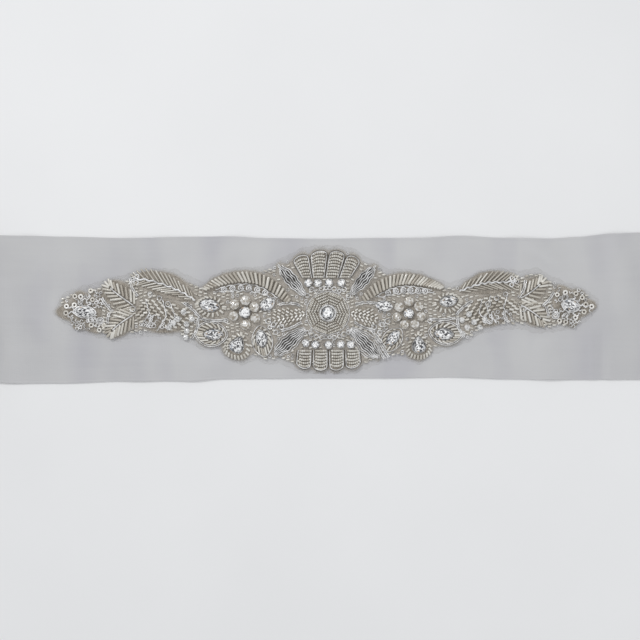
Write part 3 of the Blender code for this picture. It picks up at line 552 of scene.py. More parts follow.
def crystal_finish():
    """Foil-backed crystal: each facet its own flash of painted reflection, from black to white with a little
    colour.
    """
    crystal = Finish("foiled crystal")
    flash = crystal.own("flash")
    tint = crystal.ramp(flash, (
        (0.0, (0.02, 0.021, 0.025)), (0.10, (0.07, 0.07, 0.075)), (0.18, (0.21, 0.21, 0.212)),
        (0.36, (0.40, 0.40, 0.40)), (0.56, (0.68, 0.68, 0.675)), (0.78, (0.90, 0.90, 0.89)),
        (0.91, (0.36, 0.40, 0.46)), (0.97, (0.55, 0.44, 0.33))))
    tint.socket.node.color_ramp.interpolation = "CONSTANT"
    flaw = crystal.noise(700.0, 2.0)
    return crystal.sockets({
        "Base Color": tint,
        "Metallic": 0.0,
        "Roughness": crystal.range(flaw, 0.3, 0.7, 0.34, 0.46),
        "Specular IOR Level": 0.35,
        "Coat Weight": 0.06,
        "Coat Roughness": 0.05,
        "Normal": crystal.bump(flaw, 0.00008, 0.2),
    })


def clear_bead_finish(name, deep, middle, pale):
    """Clear faceted glass: the ground seen through it in places and glints on its facets, both painted into
    its colour.
    """
    clear = Finish(name)
    flash = clear.own("flash")
    cloud = clear.noise(420.0, 3.0)
    tint = clear.ramp(flash * 0.75 + cloud * 0.25, (
        (0.16, deep), (0.38, middle), (0.6, pale), (0.8, (0.98, 0.975, 0.96))))
    return clear.sockets({
        "Base Color": tint,
        "Transmission Weight": 0.35,
        "IOR": 1.45,
        "Roughness": clear.range(cloud, 0.3, 0.7, 0.06, 0.2),
        "Coat Weight": 0.4,
        "Coat Roughness": 0.08,
        "Normal": clear.bump(cloud, 0.0002, 0.2),
    })


def floor_finish():
    """A plain pale studio floor with a faint mottle."""
    floor = Finish("pale floor")
    mottle = floor.noise(6.0, 4.0)
    return floor.sockets({
        "Base Color": floor.blend(floor.range(mottle, 0.3, 0.7), (0.77, 0.77, 0.77),
                                  (0.80, 0.80, 0.80)),
        "Roughness": 0.7,
    })


# Shapes that repeat, each modelled once about the origin with its thread hole along Z

def pick_faces(mesh_data, wanted):
    for face in mesh_data.faces:
        face.select_set(bool(wanted(face)))
    mesh_data.select_flush_mode()


def edit_faces(thing, wanted):
    """Enter edit mode with just the wanted faces selected."""
    bpy.ops.object.mode_set(mode="EDIT")
    bpy.ops.mesh.select_mode(type="FACE")
    bpy.ops.mesh.select_all(action="DESELECT")
    mesh_data = bmesh.from_edit_mesh(thing.data)
    pick_faces(mesh_data, wanted)
    bmesh.update_edit_mesh(thing.data)


def leave_edit():
    bpy.ops.object.mode_set(mode="OBJECT")


class Shape:
    """The points and faces of one modelled bead, ready to be copied along a thread."""

    def __init__(self, thing, radius, half_length, smooth):
        mesh = thing.data
        self.points = np.array([point.co for point in mesh.vertices])
        self.faces = [tuple(face.vertices) for face in mesh.polygons]
        self.radius = radius
        self.half_length = half_length
        self.smooth = smooth
        bpy.data.objects.remove(thing)
        bpy.data.meshes.remove(mesh)


def make_bugle(radius, half_length, sides):
    """A glass tube with rounded lips and a thread hole sunk in each end."""
    bpy.ops.mesh.primitive_cylinder_add(vertices=sides, radius=radius, depth=2.0 * half_length)
    bugle = bpy.context.object
    edit_faces(bugle, lambda face: abs(face.normal.z) > 0.9)
    bpy.ops.mesh.bevel(offset=radius * 0.3, segments=2, affect="EDGES")
    leave_edit()
    edit_faces(bugle, lambda face: abs(face.normal.z) > 0.99 and len(face.verts) == sides)
    bpy.ops.mesh.inset(thickness=radius * 0.28)
    bpy.ops.transform.resize(value=(1.0, 1.0, 0.94))
    leave_edit()
    return Shape(bugle, radius, half_length, True)


def make_string_bead():
    """A small round bead, flattened where its thread runs through."""
    bpy.ops.mesh.primitive_uv_sphere_add(segments=8, ring_count=5, radius=1.0)
    bead = bpy.context.object
    edit_faces(bead, lambda face: abs(face.calc_center_median().z) > 0.75)
    bpy.ops.transform.resize(value=(1.0, 1.0, 0.8))
    leave_edit()
    return Shape(bead, 1.0, 0.8, True)


def make_ring_bead():
    """A donut seed bead, flat on its inner and outer walls."""
    bpy.ops.mesh.primitive_torus_add(major_segments=14, minor_segments=7,
                                     major_radius=0.66, minor_radius=0.34)
    bead = bpy.context.object
    edit_faces(bead, lambda face: True)
    bpy.ops.transform.resize(value=(1.0, 1.0, 1.15))
    leave_edit()
    return Shape(bead, 1.0, 0.4, True)


def make_faceted_bead():
    """A round crystal bead: triangular facets and a flat table."""
    bpy.ops.mesh.primitive_ico_sphere_add(subdivisions=2, radius=1.0)
    bead = bpy.context.object
    edit_faces(bead, lambda face: face.calc_center_median().z > 0.8)
    bpy.ops.transform.resize(value=(1.0, 1.0, 0.9), center_override=(0.0, 0.0, 0.6))
    leave_edit()
    return Shape(bead, 1.0, 1.0, False)


bpy.ops.object.select_all(action="DESELECT")
LONG_BUGLE = make_bugle(1.0, 3.5, 10)
SHORT_BUGLE = make_bugle(0.85, 1.65, 9)
STRING_BEAD = make_string_bead()
RING_BEAD = make_ring_bead()
FACETED_BEAD = make_faceted_bead()


class Beading:
    """Beads sewn on one pad: copies of the shapes, joined as one mesh."""

    def __init__(self, node=None):
        self.points = []
        self.faces = []
        self.tones = []
        self.flashes = []
        self.smooth = []
        self.count = 0
        self.tree = None
        if node:
            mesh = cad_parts[node].data
            self.tree = BVHTree.FromPolygons([point.co / MM for point in mesh.vertices],
                                             [tuple(face.vertices) for face in mesh.polygons])

    def top(self, spot):
        """Height of the pad, or of the net beside it, in millimetres."""
        if self.tree:
            hit = self.tree.ray_cast(Vector((spot.x, spot.y, 60.0)), Vector((0.0, 0.0, -1.0)))[0]
            if hit:
                return hit.z
        return NET_TOP

    def seat(self, spot, radius):
        """Height of the middle of a bead that sits on the pad."""
        return max(self.top(spot) - 0.5 * radius, NET_TOP + 0.85 * radius)

    def sew(self, shape, centre, along, scale, tone):
        """One bead: centre and thread direction as vectors, scale across, up and along."""
        forward = along.normalized()
        side = forward.cross(Vector((0.0, 0.0, 1.0)))
        side = side.normalized() if side.length > 1e-6 else Vector((1.0, 0.0, 0.0))
        upward = side.cross(forward)
        turn = np.array([side * scale[0], upward * scale[1], forward * scale[2]])
        placed = shape.points @ turn + np.array(centre)
        self.points.append(placed)
        self.faces.extend(tuple(index + self.count for index in face) for face in shape.faces)
        self.count += len(placed)
        self.tones.append(np.full(len(placed), tone))
        self.flashes.append(np.array([chance.random() for _ in shape.faces]))
        self.smooth.append(np.full(len(shape.faces), shape.smooth))

    def tube(self, shape, start, end, radius, tone=None):
        """A bugle from one point of the pad to another."""
        low = Vector((start.x, start.y, self.seat(start, radius)))
        high = Vector((end.x, end.y, self.seat(end, radius)))
        middle = self.seat((start + end) / 2.0, radius)
        lift = max(middle - (low.z + high.z) / 2.0, 0.0)
        low.z += lift
        high.z += lift
        reach = (high - low).length / 2.0
        size = radius * chance.uniform(0.94, 1.06) / shape.radius
        self.sew(shape, (low + high) / 2.0, high - low, (size, size, reach / shape.half_length),
                 chance.uniform(0.15, 0.95) if tone is None else tone)

    def string(self, spots, radius, pitch, low_tone=0.15):
        """Small round beads threaded along a line of points."""
        carry = 0.0
        for start, end in zip(spots, spots[1:]):
            span = (end - start).length
            while carry < span:
                spot = start.lerp(end, carry / span)
                size = radius * chance.uniform(0.92, 1.08)
                centre = Vector((spot.x, spot.y, self.seat(spot, radius)))
                way = Vector((end.x - start.x, end.y - start.y, 0.0))
                self.sew(STRING_BEAD, centre, way, (size, size, size), chance.uniform(low_tone, 0.95))
                carry += pitch
            carry -= span

    def ring(self, spot, radius, rise=0.0):
        """A donut bead lying flat with a thread knot in its hole, coloured near-black as painted shade."""
        height = self.seat(spot, radius * 0.5) + rise
        tilt = Vector((chance.uniform(-0.16, 0.16), chance.uniform(-0.16, 0.16), 1.0))
        self.sew(RING_BEAD, (spot.x, spot.y, height), tilt, (radius, radius, radius * 0.95),
                 chance.uniform(0.3, 0.9))
        # A tone below zero takes the near-black stop: painted shade in the hole.
        knot_shade = radius * 0.34
        self.sew(STRING_BEAD, (spot.x, spot.y, height - radius * 0.12), tilt, (knot_shade, knot_shade, knot_shade), -0.6)

    def facet(self, spot, radius, half_height, rise=0.0):
        """A faceted crystal bead that sits on the pad or net."""
        height = max(self.top(spot), NET_TOP) + rise
        spin = chance.uniform(0.0, math.tau)
        self.sew(FACETED_BEAD, (spot.x, spot.y, height),
                 Vector((0.12 * math.cos(spin), 0.12 * math.sin(spin), 1.0)),
                 (radius, radius, half_height), chance.uniform(0.4, 1.0))

    def piece(self, name, finish, slot, *nodes):
        mesh = bpy.data.meshes.new(name)
        mesh.from_pydata((np.concatenate(self.points) * MM).tolist(), [], self.faces)
        tone = mesh.attributes.new("tone", "FLOAT", "POINT")
        tone.data.foreach_set("value", np.concatenate(self.tones).astype(np.float32))
        flash = mesh.attributes.new("flash", "FLOAT", "FACE")
        flash.data.foreach_set("value", np.concatenate(self.flashes).astype(np.float32))
        mesh.polygons.foreach_set("use_smooth", np.concatenate(self.smooth).astype(bool))
        mesh.materials.append(finish)
        made = bpy.data.objects.new(name, mesh)
        bpy.context.collection.objects.link(made)
        keep(made, slot, *nodes)
        return made


def keep(piece, slot, *nodes):
    """Every piece rides on the sash; its slot is not used. It may stand for CAD nodes, which it hides."""
    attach(piece, "root")
    if nodes:
        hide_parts(*nodes)


class Cording:
    """Cords couched on one pad, made as curves and turned into one mesh."""

    def __init__(self, beading):
        self.beading = beading
        self.runs = []

    def lay(self, spots, radius, lift=0.0, sink=0.35):
        run = []
        for spot in spots:
            height = max(self.beading.top(spot) - sink, NET_TOP) + radius * 0.9 + lift
            run.append((Vector((spot.x, spot.y, height)), radius))
        self.runs.append(run)

    def circle(self, centre, radius, cord, lift=0.0):
        spots = [centre + rotated(Vector((radius, 0.0)), 24.0 * step) for step in range(17)]
        self.lay(spots, cord, lift)

    def piece(self, name, finish, slot, *nodes):
        curve = bpy.data.curves.new(name, "CURVE")
        curve.dimensions = "3D"
        curve.bevel_depth = MM
        curve.bevel_resolution = 1
        curve.use_fill_caps = True
        for run in self.runs:
            spline = curve.splines.new("POLY")
            spline.points.add(len(run) - 1)
            for point, (spot, radius) in zip(spline.points, run):
                point.co = (*(spot * MM), 1.0)
                point.radius = radius
        made = bpy.data.objects.new(name, curve)
        bpy.context.collection.objects.link(made)
        bpy.ops.object.select_all(action="DESELECT")
        made.select_set(True)
        bpy.context.view_layer.objects.active = made
        bpy.ops.object.convert(target="MESH")
        made = bpy.context.object
        made.name = name
        bpy.ops.object.shade_smooth()
        made.data.materials.clear()
        made.data.materials.append(finish)
        keep(made, slot, *nodes)
        return made


# Finishes

satin = satin_finish()
beige_net = net_finish()
tan_stitching = padding_finish("tan stitching", (0.24, 0.21, 0.172), (0.40, 0.358, 0.302),
                               (0.58, 0.535, 0.47))
# A near-black ground laid under the sprays and along the fan outlines: painted shadow.
dark_stitching = padding_finish("dark stitching", (0.06, 0.056, 0.05), (0.11, 0.104, 0.096),
                                (0.19, 0.18, 0.168))
champagne = bead_finish("silver lined champagne beads", (0.355, 0.32, 0.268), (0.51, 0.48, 0.422),
                        (0.68, 0.66, 0.61), 0.32)
bright_silver = bead_finish("silver lined bright beads", (0.40, 0.37, 0.32), (0.64, 0.615, 0.56),
                            (0.84, 0.825, 0.79), 0.24)
bullion = cord_finish()
crystal = crystal_finish()
# Both clear glasses paint the ground seen through them and their facet glints into the colour.
clear_glass = clear_bead_finish("clear bead over tan net", (0.36, 0.315, 0.25), (0.58, 0.54, 0.475),
                                (0.80, 0.78, 0.73))
white_glass = clear_bead_finish("clear white bead", (0.40, 0.40, 0.39), (0.70, 0.70, 0.69),
                                (0.92, 0.92, 0.91))


# The beadwork, motif by motif

def barb(rows, share, side, lean, inset, short):
    """Start and end of one barb that leans from a spine towards its tip."""
    centre, along, across, half = spine_frame(rows, share)
    way = rotated(along, side * lean)
    reach = max(half / math.sin(math.radians(max(lean, 12.0))) - short, 0.0)
    return centre + way * inset, centre + way * min(reach, 11.5)


def spine_points(rows, start, end, count):
    return [spine_frame(rows, start + (end - start) * step / count)[0] for step in range(count + 1)]


def lay_outer_leaf(name, rows):
    """A leaf of long bugles: barbs to both sides of a corded midrib, shorter towards the tip."""
    beads = Beading(name)
    cords = Cording(beads)
    rib = 0.78
    count = max(int(spine_length(rows) * rib / 2.35), 5)
    for side in (-1.0, 1.0):
        for step in range(count + 1):
            centre, along, across, half = spine_frame(rows, rib * step / count)
            lean = 54.0 - 26.0 * step / count
            way = rotated(along, side * lean)
            reach = 10.0 - 3.6 * (step / count) ** 2 + chance.uniform(-0.3, 0.3)
            beads.tube(LONG_BUGLE, centre + way * 1.2, centre + way * reach, 0.86)
    centre, along, across, half = spine_frame(rows, rib)
    beads.tube(LONG_BUGLE, centre + along * 1.4, centre + along * 6.2, 0.86)
    cords.lay(spine_points(rows, 0.05, rib, 20), 0.42, 0.9)
    beads.piece(name + "_beads", champagne, "silver_lined_beads", name)
    cords.piece(name + "_cords", bullion, "silver_cord")


def lay_feather_leaf(name, rows, mirror):
    """A leaf of thin close strands, steep above the midrib and nearly along it below."""
    beads = Beading(name)
    cords = Cording(beads)
    for side, lean, pitch, inset in ((-mirror, 38.0, 2.7, 1.0), (mirror, 30.0, 3.1, 1.2)):
        count = int(spine_length(rows) * 0.86 / pitch)
        for step in range(count + 1):
            share = 0.05 + 0.86 * step / count
            start, end = barb(rows, share, side, lean, inset, 0.5)
            if (end - start).length < 6.5 and share < 0.8:
                end = start + (end - start).normalized() * min(6.5, 3.5 + 30.0 * share)
            if (end - start).length > 2.2:
                beads.tube(LONG_BUGLE, start, end, 0.55, chance.uniform(0.15, 0.8))
    wave = []
    for step in range(60):
        centre, along, across, half = spine_frame(rows, step / 59)
        wave.append(centre + across * 0.45 * math.sin(step * 0.9))
    cords.lay(wave, 0.62, 0.6)
    tip, along, across, half = spine_frame(rows, 0.97)
    for place, size in ((Vector((0.0, 2.2)), 1.5), (Vector((0.6, -2.0)), 1.3), (Vector((-2.8, 0.4)), 1.6)):
        cords.circle(tip - along * (2.0 + place.x) + across * place.y, size, 0.42, 0.3)
    beads.piece(name + "_beads", champagne, "silver_lined_beads", name)
    cords.piece(name + "_cords", bullion, "silver_cord")


def lay_arc_wing(name, rows, mirror):
    """A curved band of slanted bugles over a row of cord rings and a scrolled edge."""
    beads = Beading(name)
    cords = Cording(beads)
    count = 25
    for step in range(count + 1):
        share = 0.02 + 0.96 * step / count
        centre, along, across, half = spine_frame(rows, share)
        way = rotated(along, -mirror * (48.0 + 34.0 * share))
        reach = max(half, 1.7)
        size = 0.84 + 0.22 * share
        beads.tube(LONG_BUGLE, centre - way * reach, centre + way * reach, size, chance.uniform(0.1, 0.7))
    scroll = []
    for step in range(90):
        share = 0.10 + 0.76 * step / 89
        centre, along, across, half = spine_frame(rows, share)
        depth = half + 5.4 * math.sin(math.pi * share) + 0.5 * math.sin(step * 0.55)
        scroll.append(centre - across * mirror * depth)
    cords.lay(scroll, 0.42, 0.3)
    inner = []
    for step in range(60):
        centre, along, across, half = spine_frame(rows, 0.14 + 0.74 * step / 59)
        inner.append(centre - across * mirror * (half + 0.7 + 0.25 * math.sin(step * 0.8)))
    cords.lay(inner, 0.36, 0.2)
    for step in range(6):
        share = 0.24 + 0.50 * step / 5
        centre, along, across, half = spine_frame(rows, share)
        depth = half + 3.1 * math.sin(math.pi * share) + 0.2
        spot = centre - across * mirror * depth
        cords.circle(spot, 1.75, 0.46, 0.35)
        cords.circle(spot + along * 0.2, 0.75, 0.38, 0.3)
    beads.piece(name + "_beads", champagne, "silver_lined_beads", name)
    cords.piece(name + "_cords", bullion, "silver_cord")


def lay_chevron(name, rows):
    """Rows of short bright bugles that open away from the medallion."""
    beads = Beading(name)
    length = spine_length(rows)
    count = int(length / 2.6)
    for side in (-1.0, 1.0):
        for step in range(-1, count + 1):
            centre, along, across, half = spine_frame(rows, max(step, 0) / count)
            centre = centre + along * min(step, 0) * 2.4
            way = rotated(along, side * 42.0)
            place = 0.5
            while place * math.sin(math.radians(42.0)) < half + 0.8 and place < 14.5:
                start = centre + way * place
                if beads.top(start + way) > NET_TOP:
                    beads.tube(SHORT_BUGLE, start, start + way * 2.2, 0.60, chance.uniform(0.3, 1.0))
                place += 3.0
    beads.piece(name + "_beads", bright_silver, "silver_lined_beads", name)


def lay_fan(name, borders):
    """Four petals filled with rows of small beads, each outlined in bright cord and a thin dark line of
    painted shade.
    """
    beads = Beading(name)
    cords = Cording(beads)
    painted_shade_line = Cording(beads)
    for left, right in zip(borders, borders[1:]):
        roots = (Vector((left.root_x, left.root_y)), Vector((right.root_x, right.root_y)))
        tips = (Vector((left.tip_x, left.tip_y)), Vector((right.tip_x, right.tip_y)))

        def spot(across, up):
            root = roots[0].lerp(roots[1], across)
            tip = tips[0].lerp(tips[1], across)
            swell = math.sqrt(max(1.0 - (2.0 * across - 1.0) ** 2, 0.0))
            tip = tip + (tip - root).normalized() * (FAN_SCALLOP * swell - 2.4 * (1.0 - swell))
            return root.lerp(tip, up)

        height = (spot(0.5, 1.0) - spot(0.5, 0.0)).length
        rows = int(height / 2.05)
        for row in range(rows):
            up = (0.6 + row * 2.05) / height
            pull = 0.16 + 0.13 * ease(up, 0.78, 1.0)
            line = [spot(pull + (1.0 - 2.0 * pull) * part / 6, up) for part in range(7)]
            beads.string(line, 0.90, 1.3, 0.4)
        # The outer, thin line is near-black: painted shade along the petal borders.
        for inset, size, strands in ((0.085, 0.30, cords), (0.0, 0.14, painted_shade_line)):
            outline = [spot(inset, up / 14) for up in range(13)]
            outline += [spot(inset + (1.0 - 2.0 * inset) * part / 22, 0.985 - inset * 0.5)
                        for part in range(1, 22)]
            outline += [spot(1.0 - inset, up / 14) for up in range(12, -1, -1)]
            strands.lay(outline, size, 0.45)
    beads.piece(name + "_beads", champagne, "silver_lined_beads", name)
    cords.piece(name + "_cords", bullion, "silver_cord")
    painted_shade_line.piece(name + "_contour", dark_stitching, "silver_cord")


def lay_disc():
    """The medallion: a web of bead strings in eight sectors, with a bezel round its stone."""
    name = "centre_disc"
    beads = Beading(name)
    cords = Cording(beads)
    middle = Vector((0.0, DISC_Y))
    for sector in range(8):
        for row in range(5):
            radius = 6.3 + 1.9 * row + 0.8 * (sector % 2) * (row < 4)
            line = []
            for part in range(9):
                across = part / 8 * 2.0 - 1.0
                turn = 45.0 * sector + 22.5 + 19.5 * across
                chord = radius * (1.0 - 0.055 * (1.0 - across * across))
                line.append(middle + rotated(Vector((chord, 0.0)), turn))
            beads.string(line, 0.76, 1.2, 0.4)
    for radius, size, lift in ((5.25, 0.55, 1.0), (4.95, 0.42, 1.9), (14.6, 0.34, 0.1)):
        ring = [middle + rotated(Vector((radius, 0.0)), 10.0 * step) for step in range(37)]
        cords.lay(ring, size, lift)
    beads.piece(name + "_beads", champagne, "silver_lined_beads", name)
    cords.piece(name + "_cords", bullion, "silver_cord")


def lay_spray(name, rows, loops):
    """Long wavy loops of silver cord that run out from the medallion side by side."""
    beads = Beading(name)
    cords = Cording(beads)
    phase = chance.uniform(0.0, 6.0)
    for lane in range(loops):
        place = lane - (loops - 1) / 2.0
        offset = place * 0.64
        reach = 1.05 - 0.26 * abs(place) / (loops - 1) - chance.uniform(0.0, 0.04)
        loop = []
        for step in range(73):
            turn = step / 72 * 2.0
            share = turn if turn <= 1.0 else 2.0 - turn
            strand = -1.0 if turn <= 1.0 else 1.0
            centre, along, across, half = spine_frame(rows, share * reach)
            rounded = math.sqrt(max(1.0 - ease(share, 0.86, 1.0) ** 2, 0.0))
            side = offset * half + strand * 0.16 * max(half, 3.0) * rounded
            side += (0.22 + 0.14 * share) * math.sin(share * 27.0 + phase + 0.5 * lane)
            loop.append(centre + across * side)
        cords.lay(loop, 0.35, 0.35 + 0.2 * (lane % 2))
    cords.piece(name + "_cords", bullion, "silver_cord", name)


def seat_point(stone, turn, clear):
    spot = stone_outline(stone.shape, stone.length + 2.0 * clear, stone.width + 2.0 * clear, turn)
    return rotated(spot, stone.turn) + Vector((stone.x, stone.y))


def leaf_point(row, turn, inset):
    spot = stone_outline(row.shape, row.length - 2.0 * inset, row.width - 2.0 * inset, turn)
    return rotated(spot, row.turn) + Vector((row.x, row.y))


def lay_stone_leaf(row):
    """Bugles that radiate from a stone's bezel, closed by a double cord outline."""
    beads = Beading(row.name)
    cords = Cording(beads)
    stone = stone_named(row.stone)
    for ray in range(row.rays):
        turn = (ray + 0.5) / row.rays
        start = seat_point(stone, turn, 0.9)
        end = leaf_point(row, turn + row.sweep * math.sin(turn * math.tau), 0.5 * row.cords)
        swept = end - start
        if swept.length < 1.6:
            continue
        if row.cords:
            long = swept.length > 3.4
            beads.tube(LONG_BUGLE if long else SHORT_BUGLE, start, start + swept, 0.68)
            continue
        outer = start + swept
        inner = outer - swept.normalized() * min(3.0, swept.length)
        beads.tube(SHORT_BUGLE, inner, outer, 0.78, chance.uniform(0.45, 1.0))
        if swept.length > 5.0:
            beads.tube(SHORT_BUGLE, start, inner - swept.normalized() * 0.6, 0.70)
    for ring in range(row.cords):
        cords.lay([leaf_point(row, step / 48, 0.1 + 1.1 * ring) for step in range(49)], 0.31, 0.4)
    cords.lay([seat_point(stone, step / 40, 0.35) for step in range(41)], 0.34, 0.2)
    beads.piece(row.name + "_beads", champagne, "silver_lined_beads", row.name)
    cords.piece(row.name + "_cords", bullion, "silver_cord")


def lay_squiggle(cords, spot, turn, length):
    """A short loose end of bullion, bent both ways."""
    line = []
    for step in range(13):
        part = step / 12 - 0.5
        line.append(spot + rotated(Vector((length * part, 0.7 * math.sin(part * 7.5))), turn))
    cords.lay(line, 0.32, 0.5)


def lay_mid_field(name, rows, mirror):
    """Scattered rows of dashes, a cluster of round crystals and two forked cords."""
    beads = Beading(name)
    cords = Cording(beads)
    gems = Beading(name)
    for lane in range(-4, 5):
        for step in range(9):
            share = (step + 0.5 * (lane % 2)) / 9
            centre, along, across, half = spine_frame(rows, share)
            side = lane * 2.1
            if abs(side) > half - 0.2:
                continue
            spot = centre + across * side
            way = rotated(along, mirror * 26.0 * math.sin(share * 5.0 + 0.35 * lane))
            if lane * mirror < 0 and 0.42 < share < 0.80 and abs(side) > 2.0:
                spot = spot + Vector((chance.uniform(-1.2, 1.2), chance.uniform(-0.9, 0.9)))
                if chance.random() < 0.4:
                    cords.circle(spot, chance.uniform(0.8, 1.3), 0.32, 0.5)
                else:
                    lay_squiggle(cords, spot, chance.uniform(0.0, 360.0), chance.uniform(2.6, 4.4))
            else:
                beads.tube(SHORT_BUGLE, spot - way * 1.5, spot + way * 1.5, 0.84)
    for fork in (0.30, 0.44, 0.72):
        centre, along, across, half = spine_frame(rows, fork)
        for side in (-1.0, 1.0):
            line = []
            for step in range(19):
                part = step / 18
                line.append(centre + along * (part * 4.6 - 1.0) + across * side * (half - 0.6) * part
                            + along * 0.25 * math.sin(step * 1.1))
            cords.lay(line, 0.40, 0.3)
    for x, y in CRYSTALS[name]:
        gems.facet(Vector((x, y)), 2.1, 1.5, 0.6)
    beads.piece(name + "_beads", champagne, "silver_lined_beads", name)
    cords.piece(name + "_cords", bullion, "silver_cord")
    gems.piece(name + "_crystals", white_glass, "cut_crystal")


def lay_end_spray(name, stone_name, mirror):
    """Donut beads that scatter off the end stone among curls of bullion."""
    beads = Beading(name)
    cords = Cording(beads)
    stone = stone_named(stone_name)
    middle = Vector((stone.x, stone.y))
    for bead in END_RINGS[name]:
        spot = Vector((bead.x, bead.y))
        beads.ring(spot, bead.size / 2.0)
        away = spot - middle
        hold = middle + away.normalized() * min(away.length * 0.45, 6.4)
        curl = []
        for step in range(15):
            part = step / 14
            sway = rotated(away, 90.0).normalized() * 0.7 * math.sin(part * 7.5)
            curl.append(hold.lerp(spot - away.normalized() * 1.9, part) + sway)
        cords.lay(curl, 0.46, 0.3)
    for column in range(13):
        for line in range(14):
            offset = Vector((mirror * (column * 2.6 - 18.0), line * 2.4 - 15.6))
            spot = middle + offset + Vector((chance.uniform(-0.5, 0.5), chance.uniform(-0.5, 0.5)))
            near = min((Vector((bead.x, bead.y)) - spot).length for bead in END_RINGS[name])
            if beads.top(spot) < NET_TOP + 0.15 or near < 2.6 or beads.top(spot) > NET_TOP + 4.0:
                continue
            if abs(offset.x) < 11.0 and abs(offset.y) < 6.2 * (1.0 - abs(offset.x) / 13.5):
                continue
            if chance.random() < 0.35:
                cords.circle(spot, chance.uniform(0.8, 1.15), 0.32, 0.3)
            else:
                lay_squiggle(cords, spot, chance.uniform(0.0, 360.0), chance.uniform(2.2, 3.6))
    spiral = []
    for step in range(44):
        spot = middle + Vector((mirror * -10.4, -6.6))
        spiral.append(spot + rotated(Vector((0.5 + 2.4 * step / 43, 0.0)), step * 20.0))
    cords.lay(spiral, 0.40, 0.4)
    cords.lay([seat_point(stone, step / 40, 0.5) for step in range(41)], 0.45, 0.4)
    beads.piece(name + "_beads", bright_silver, "silver_lined_beads", name)
    cords.piece(name + "_cords", bullion, "silver_cord")


def lay_flower(name):
    """Large clear faceted beads in a ring."""
    beads = Beading()
    for bead in FLOWERS[name]:
        centre = Vector((bead.x, bead.y))
        beads.facet(centre, bead.size / 2.0, 2.05, PAD_BASE + 1.55 - NET_TOP)
    beads.piece(name + "_beads", clear_glass, "clear_bead", name)


def pad_tree():
    """All the pads' surfaces together, to tell bare net from beadwork."""
    points = []
    faces = []
    for name in GROUND_NODES + tuple(SPRAYS) + tuple(row.name for row in STONES):
        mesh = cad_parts[name].data
        start = len(points)
        points.extend(point.co / MM for point in mesh.vertices)
        faces.extend(tuple(index + start for index in face.vertices) for face in mesh.polygons)
    return BVHTree.FromPolygons(points, faces)


def lay_cord_pair(cords, start, end, bow):
    """Two cords side by side from start to end, bowed and lightly crimped."""
    across = rotated(end - start, 90.0).normalized()
    for strand in (-0.575, 0.575):
        line = []
        for step in range(21):
            part = step / 20
            away = bow * math.sin(math.pi * part) + strand + 0.14 * math.sin(part * 22.0)
            line.append(start.lerp(end, part) + across * away)
        cords.lay(line, 0.40, 0.8)


def fill_between():
    """Short bugles and bullion curls on the net between the motifs, and the cords that join them."""
    beads = Beading()
    pads = Beading()
    pads.tree = PAD_TREE
    cords = Cording(pads)
    for column in range(118):
        for line in range(36):
            x = -182.0 + column * 3.1 + chance.uniform(-0.35, 0.35)
            y = -42.0 + line * 2.35 + 1.1 * (column % 2) + chance.uniform(-0.3, 0.3)
            if net_margin(x, y) > -3.6 or PAD_TREE.find_nearest(Vector((x, y, PAD_BASE)))[3] < 1.15:
                continue
            spot = Vector((x, y))
            sway = 28.0 * math.sin(x / 11.0) * math.cos(y / 8.0) + chance.uniform(-9.0, 9.0)
            way = rotated(Vector((1.0, 0.0)), sway)
            if chance.random() < (0.3 if abs(x) < 42.0 else 0.16):
                cords.circle(spot, chance.uniform(0.7, 0.95), 0.28, 0.2)
            else:
                beads.tube(SHORT_BUGLE, spot - way * 1.15, spot + way * 1.15, 0.62,
                           chance.uniform(0.35, 1.0))
    for curl in CURLS:
        for side in (-1.0, 1.0):
            spot = Vector((side * curl.x, curl.y))
            cords.circle(spot, curl.size, 0.36, 0.75)
    for stalk in LEAF_STALKS:
        root = Vector((stalk.x, stalk.y))
        tip = Vector((stalk.end_x, stalk.end_y))
        along = (tip - root).normalized()
        beads.string([root.lerp(tip, step / 12) for step in range(13)], 0.58, 1.2, 0.5)
        for side in (-1.0, 1.0):
            for step in range(5):
                start = root + along * (1.0 + 3.3 * step) + rotated(along, 90.0 * side) * 1.25
                beads.tube(LONG_BUGLE, start, start + rotated(along, 12.0 * side) * 4.6, 0.66,
                           chance.uniform(0.3, 0.9))
    for cord in JOINING_CORDS:
        for side in (-1.0, 1.0):
            shift = 0.0 if side < 0.0 else cord.right_shift
            start = Vector((side * cord.x, cord.y + shift))
            end = Vector((side * cord.end_x, cord.end_y + shift))
            lay_cord_pair(cords, start, end, side * cord.bow)
    for cord in SPRAY_ENDS:
        lay_cord_pair(cords, Vector((cord.x, cord.y)), Vector((cord.end_x, cord.end_y)), cord.bow)
    beads.piece("filling_beads", champagne, "silver_lined_beads")
    cords.piece("joining_cords", bullion, "silver_cord")


def lay_ground(title, names, finish, height, spread):
    """The stitched ground that shows between the beads of the pads, lower than their crowns; under the sprays
    it is near-black painted shadow.
    """
    points = []
    faces = []
    count = 0
    for name in names:
        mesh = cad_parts[name].data
        sunk = np.array([point.co for point in mesh.vertices]) / MM
        middle = sunk[:, :2].mean(axis=0)
        sunk[:, :2] = middle + (sunk[:, :2] - middle) * spread
        sunk[:, 2] = NET_TOP - 0.1 + (sunk[:, 2] - NET_TOP) * height
        points.append(sunk)
        faces.extend(tuple(index + count for index in face.vertices) for face in mesh.polygons)
        count += len(sunk)
    mesh = bpy.data.meshes.new(title)
    mesh.from_pydata((np.concatenate(points) * MM).tolist(), [], faces)
    tidy = bmesh.new()
    tidy.from_mesh(mesh)
    bmesh.ops.remove_doubles(tidy, verts=tidy.verts, dist=1e-6)
    tidy.to_mesh(mesh)
    tidy.free()
    mesh.materials.append(finish)
    made = bpy.data.objects.new(title, mesh)
    bpy.context.collection.objects.link(made)
    bpy.ops.object.select_all(action="DESELECT")
    made.select_set(True)
    bpy.context.view_layer.objects.active = made
    bpy.ops.object.shade_smooth_by_angle(angle=math.radians(50.0))
    keep(made, "beige_net")


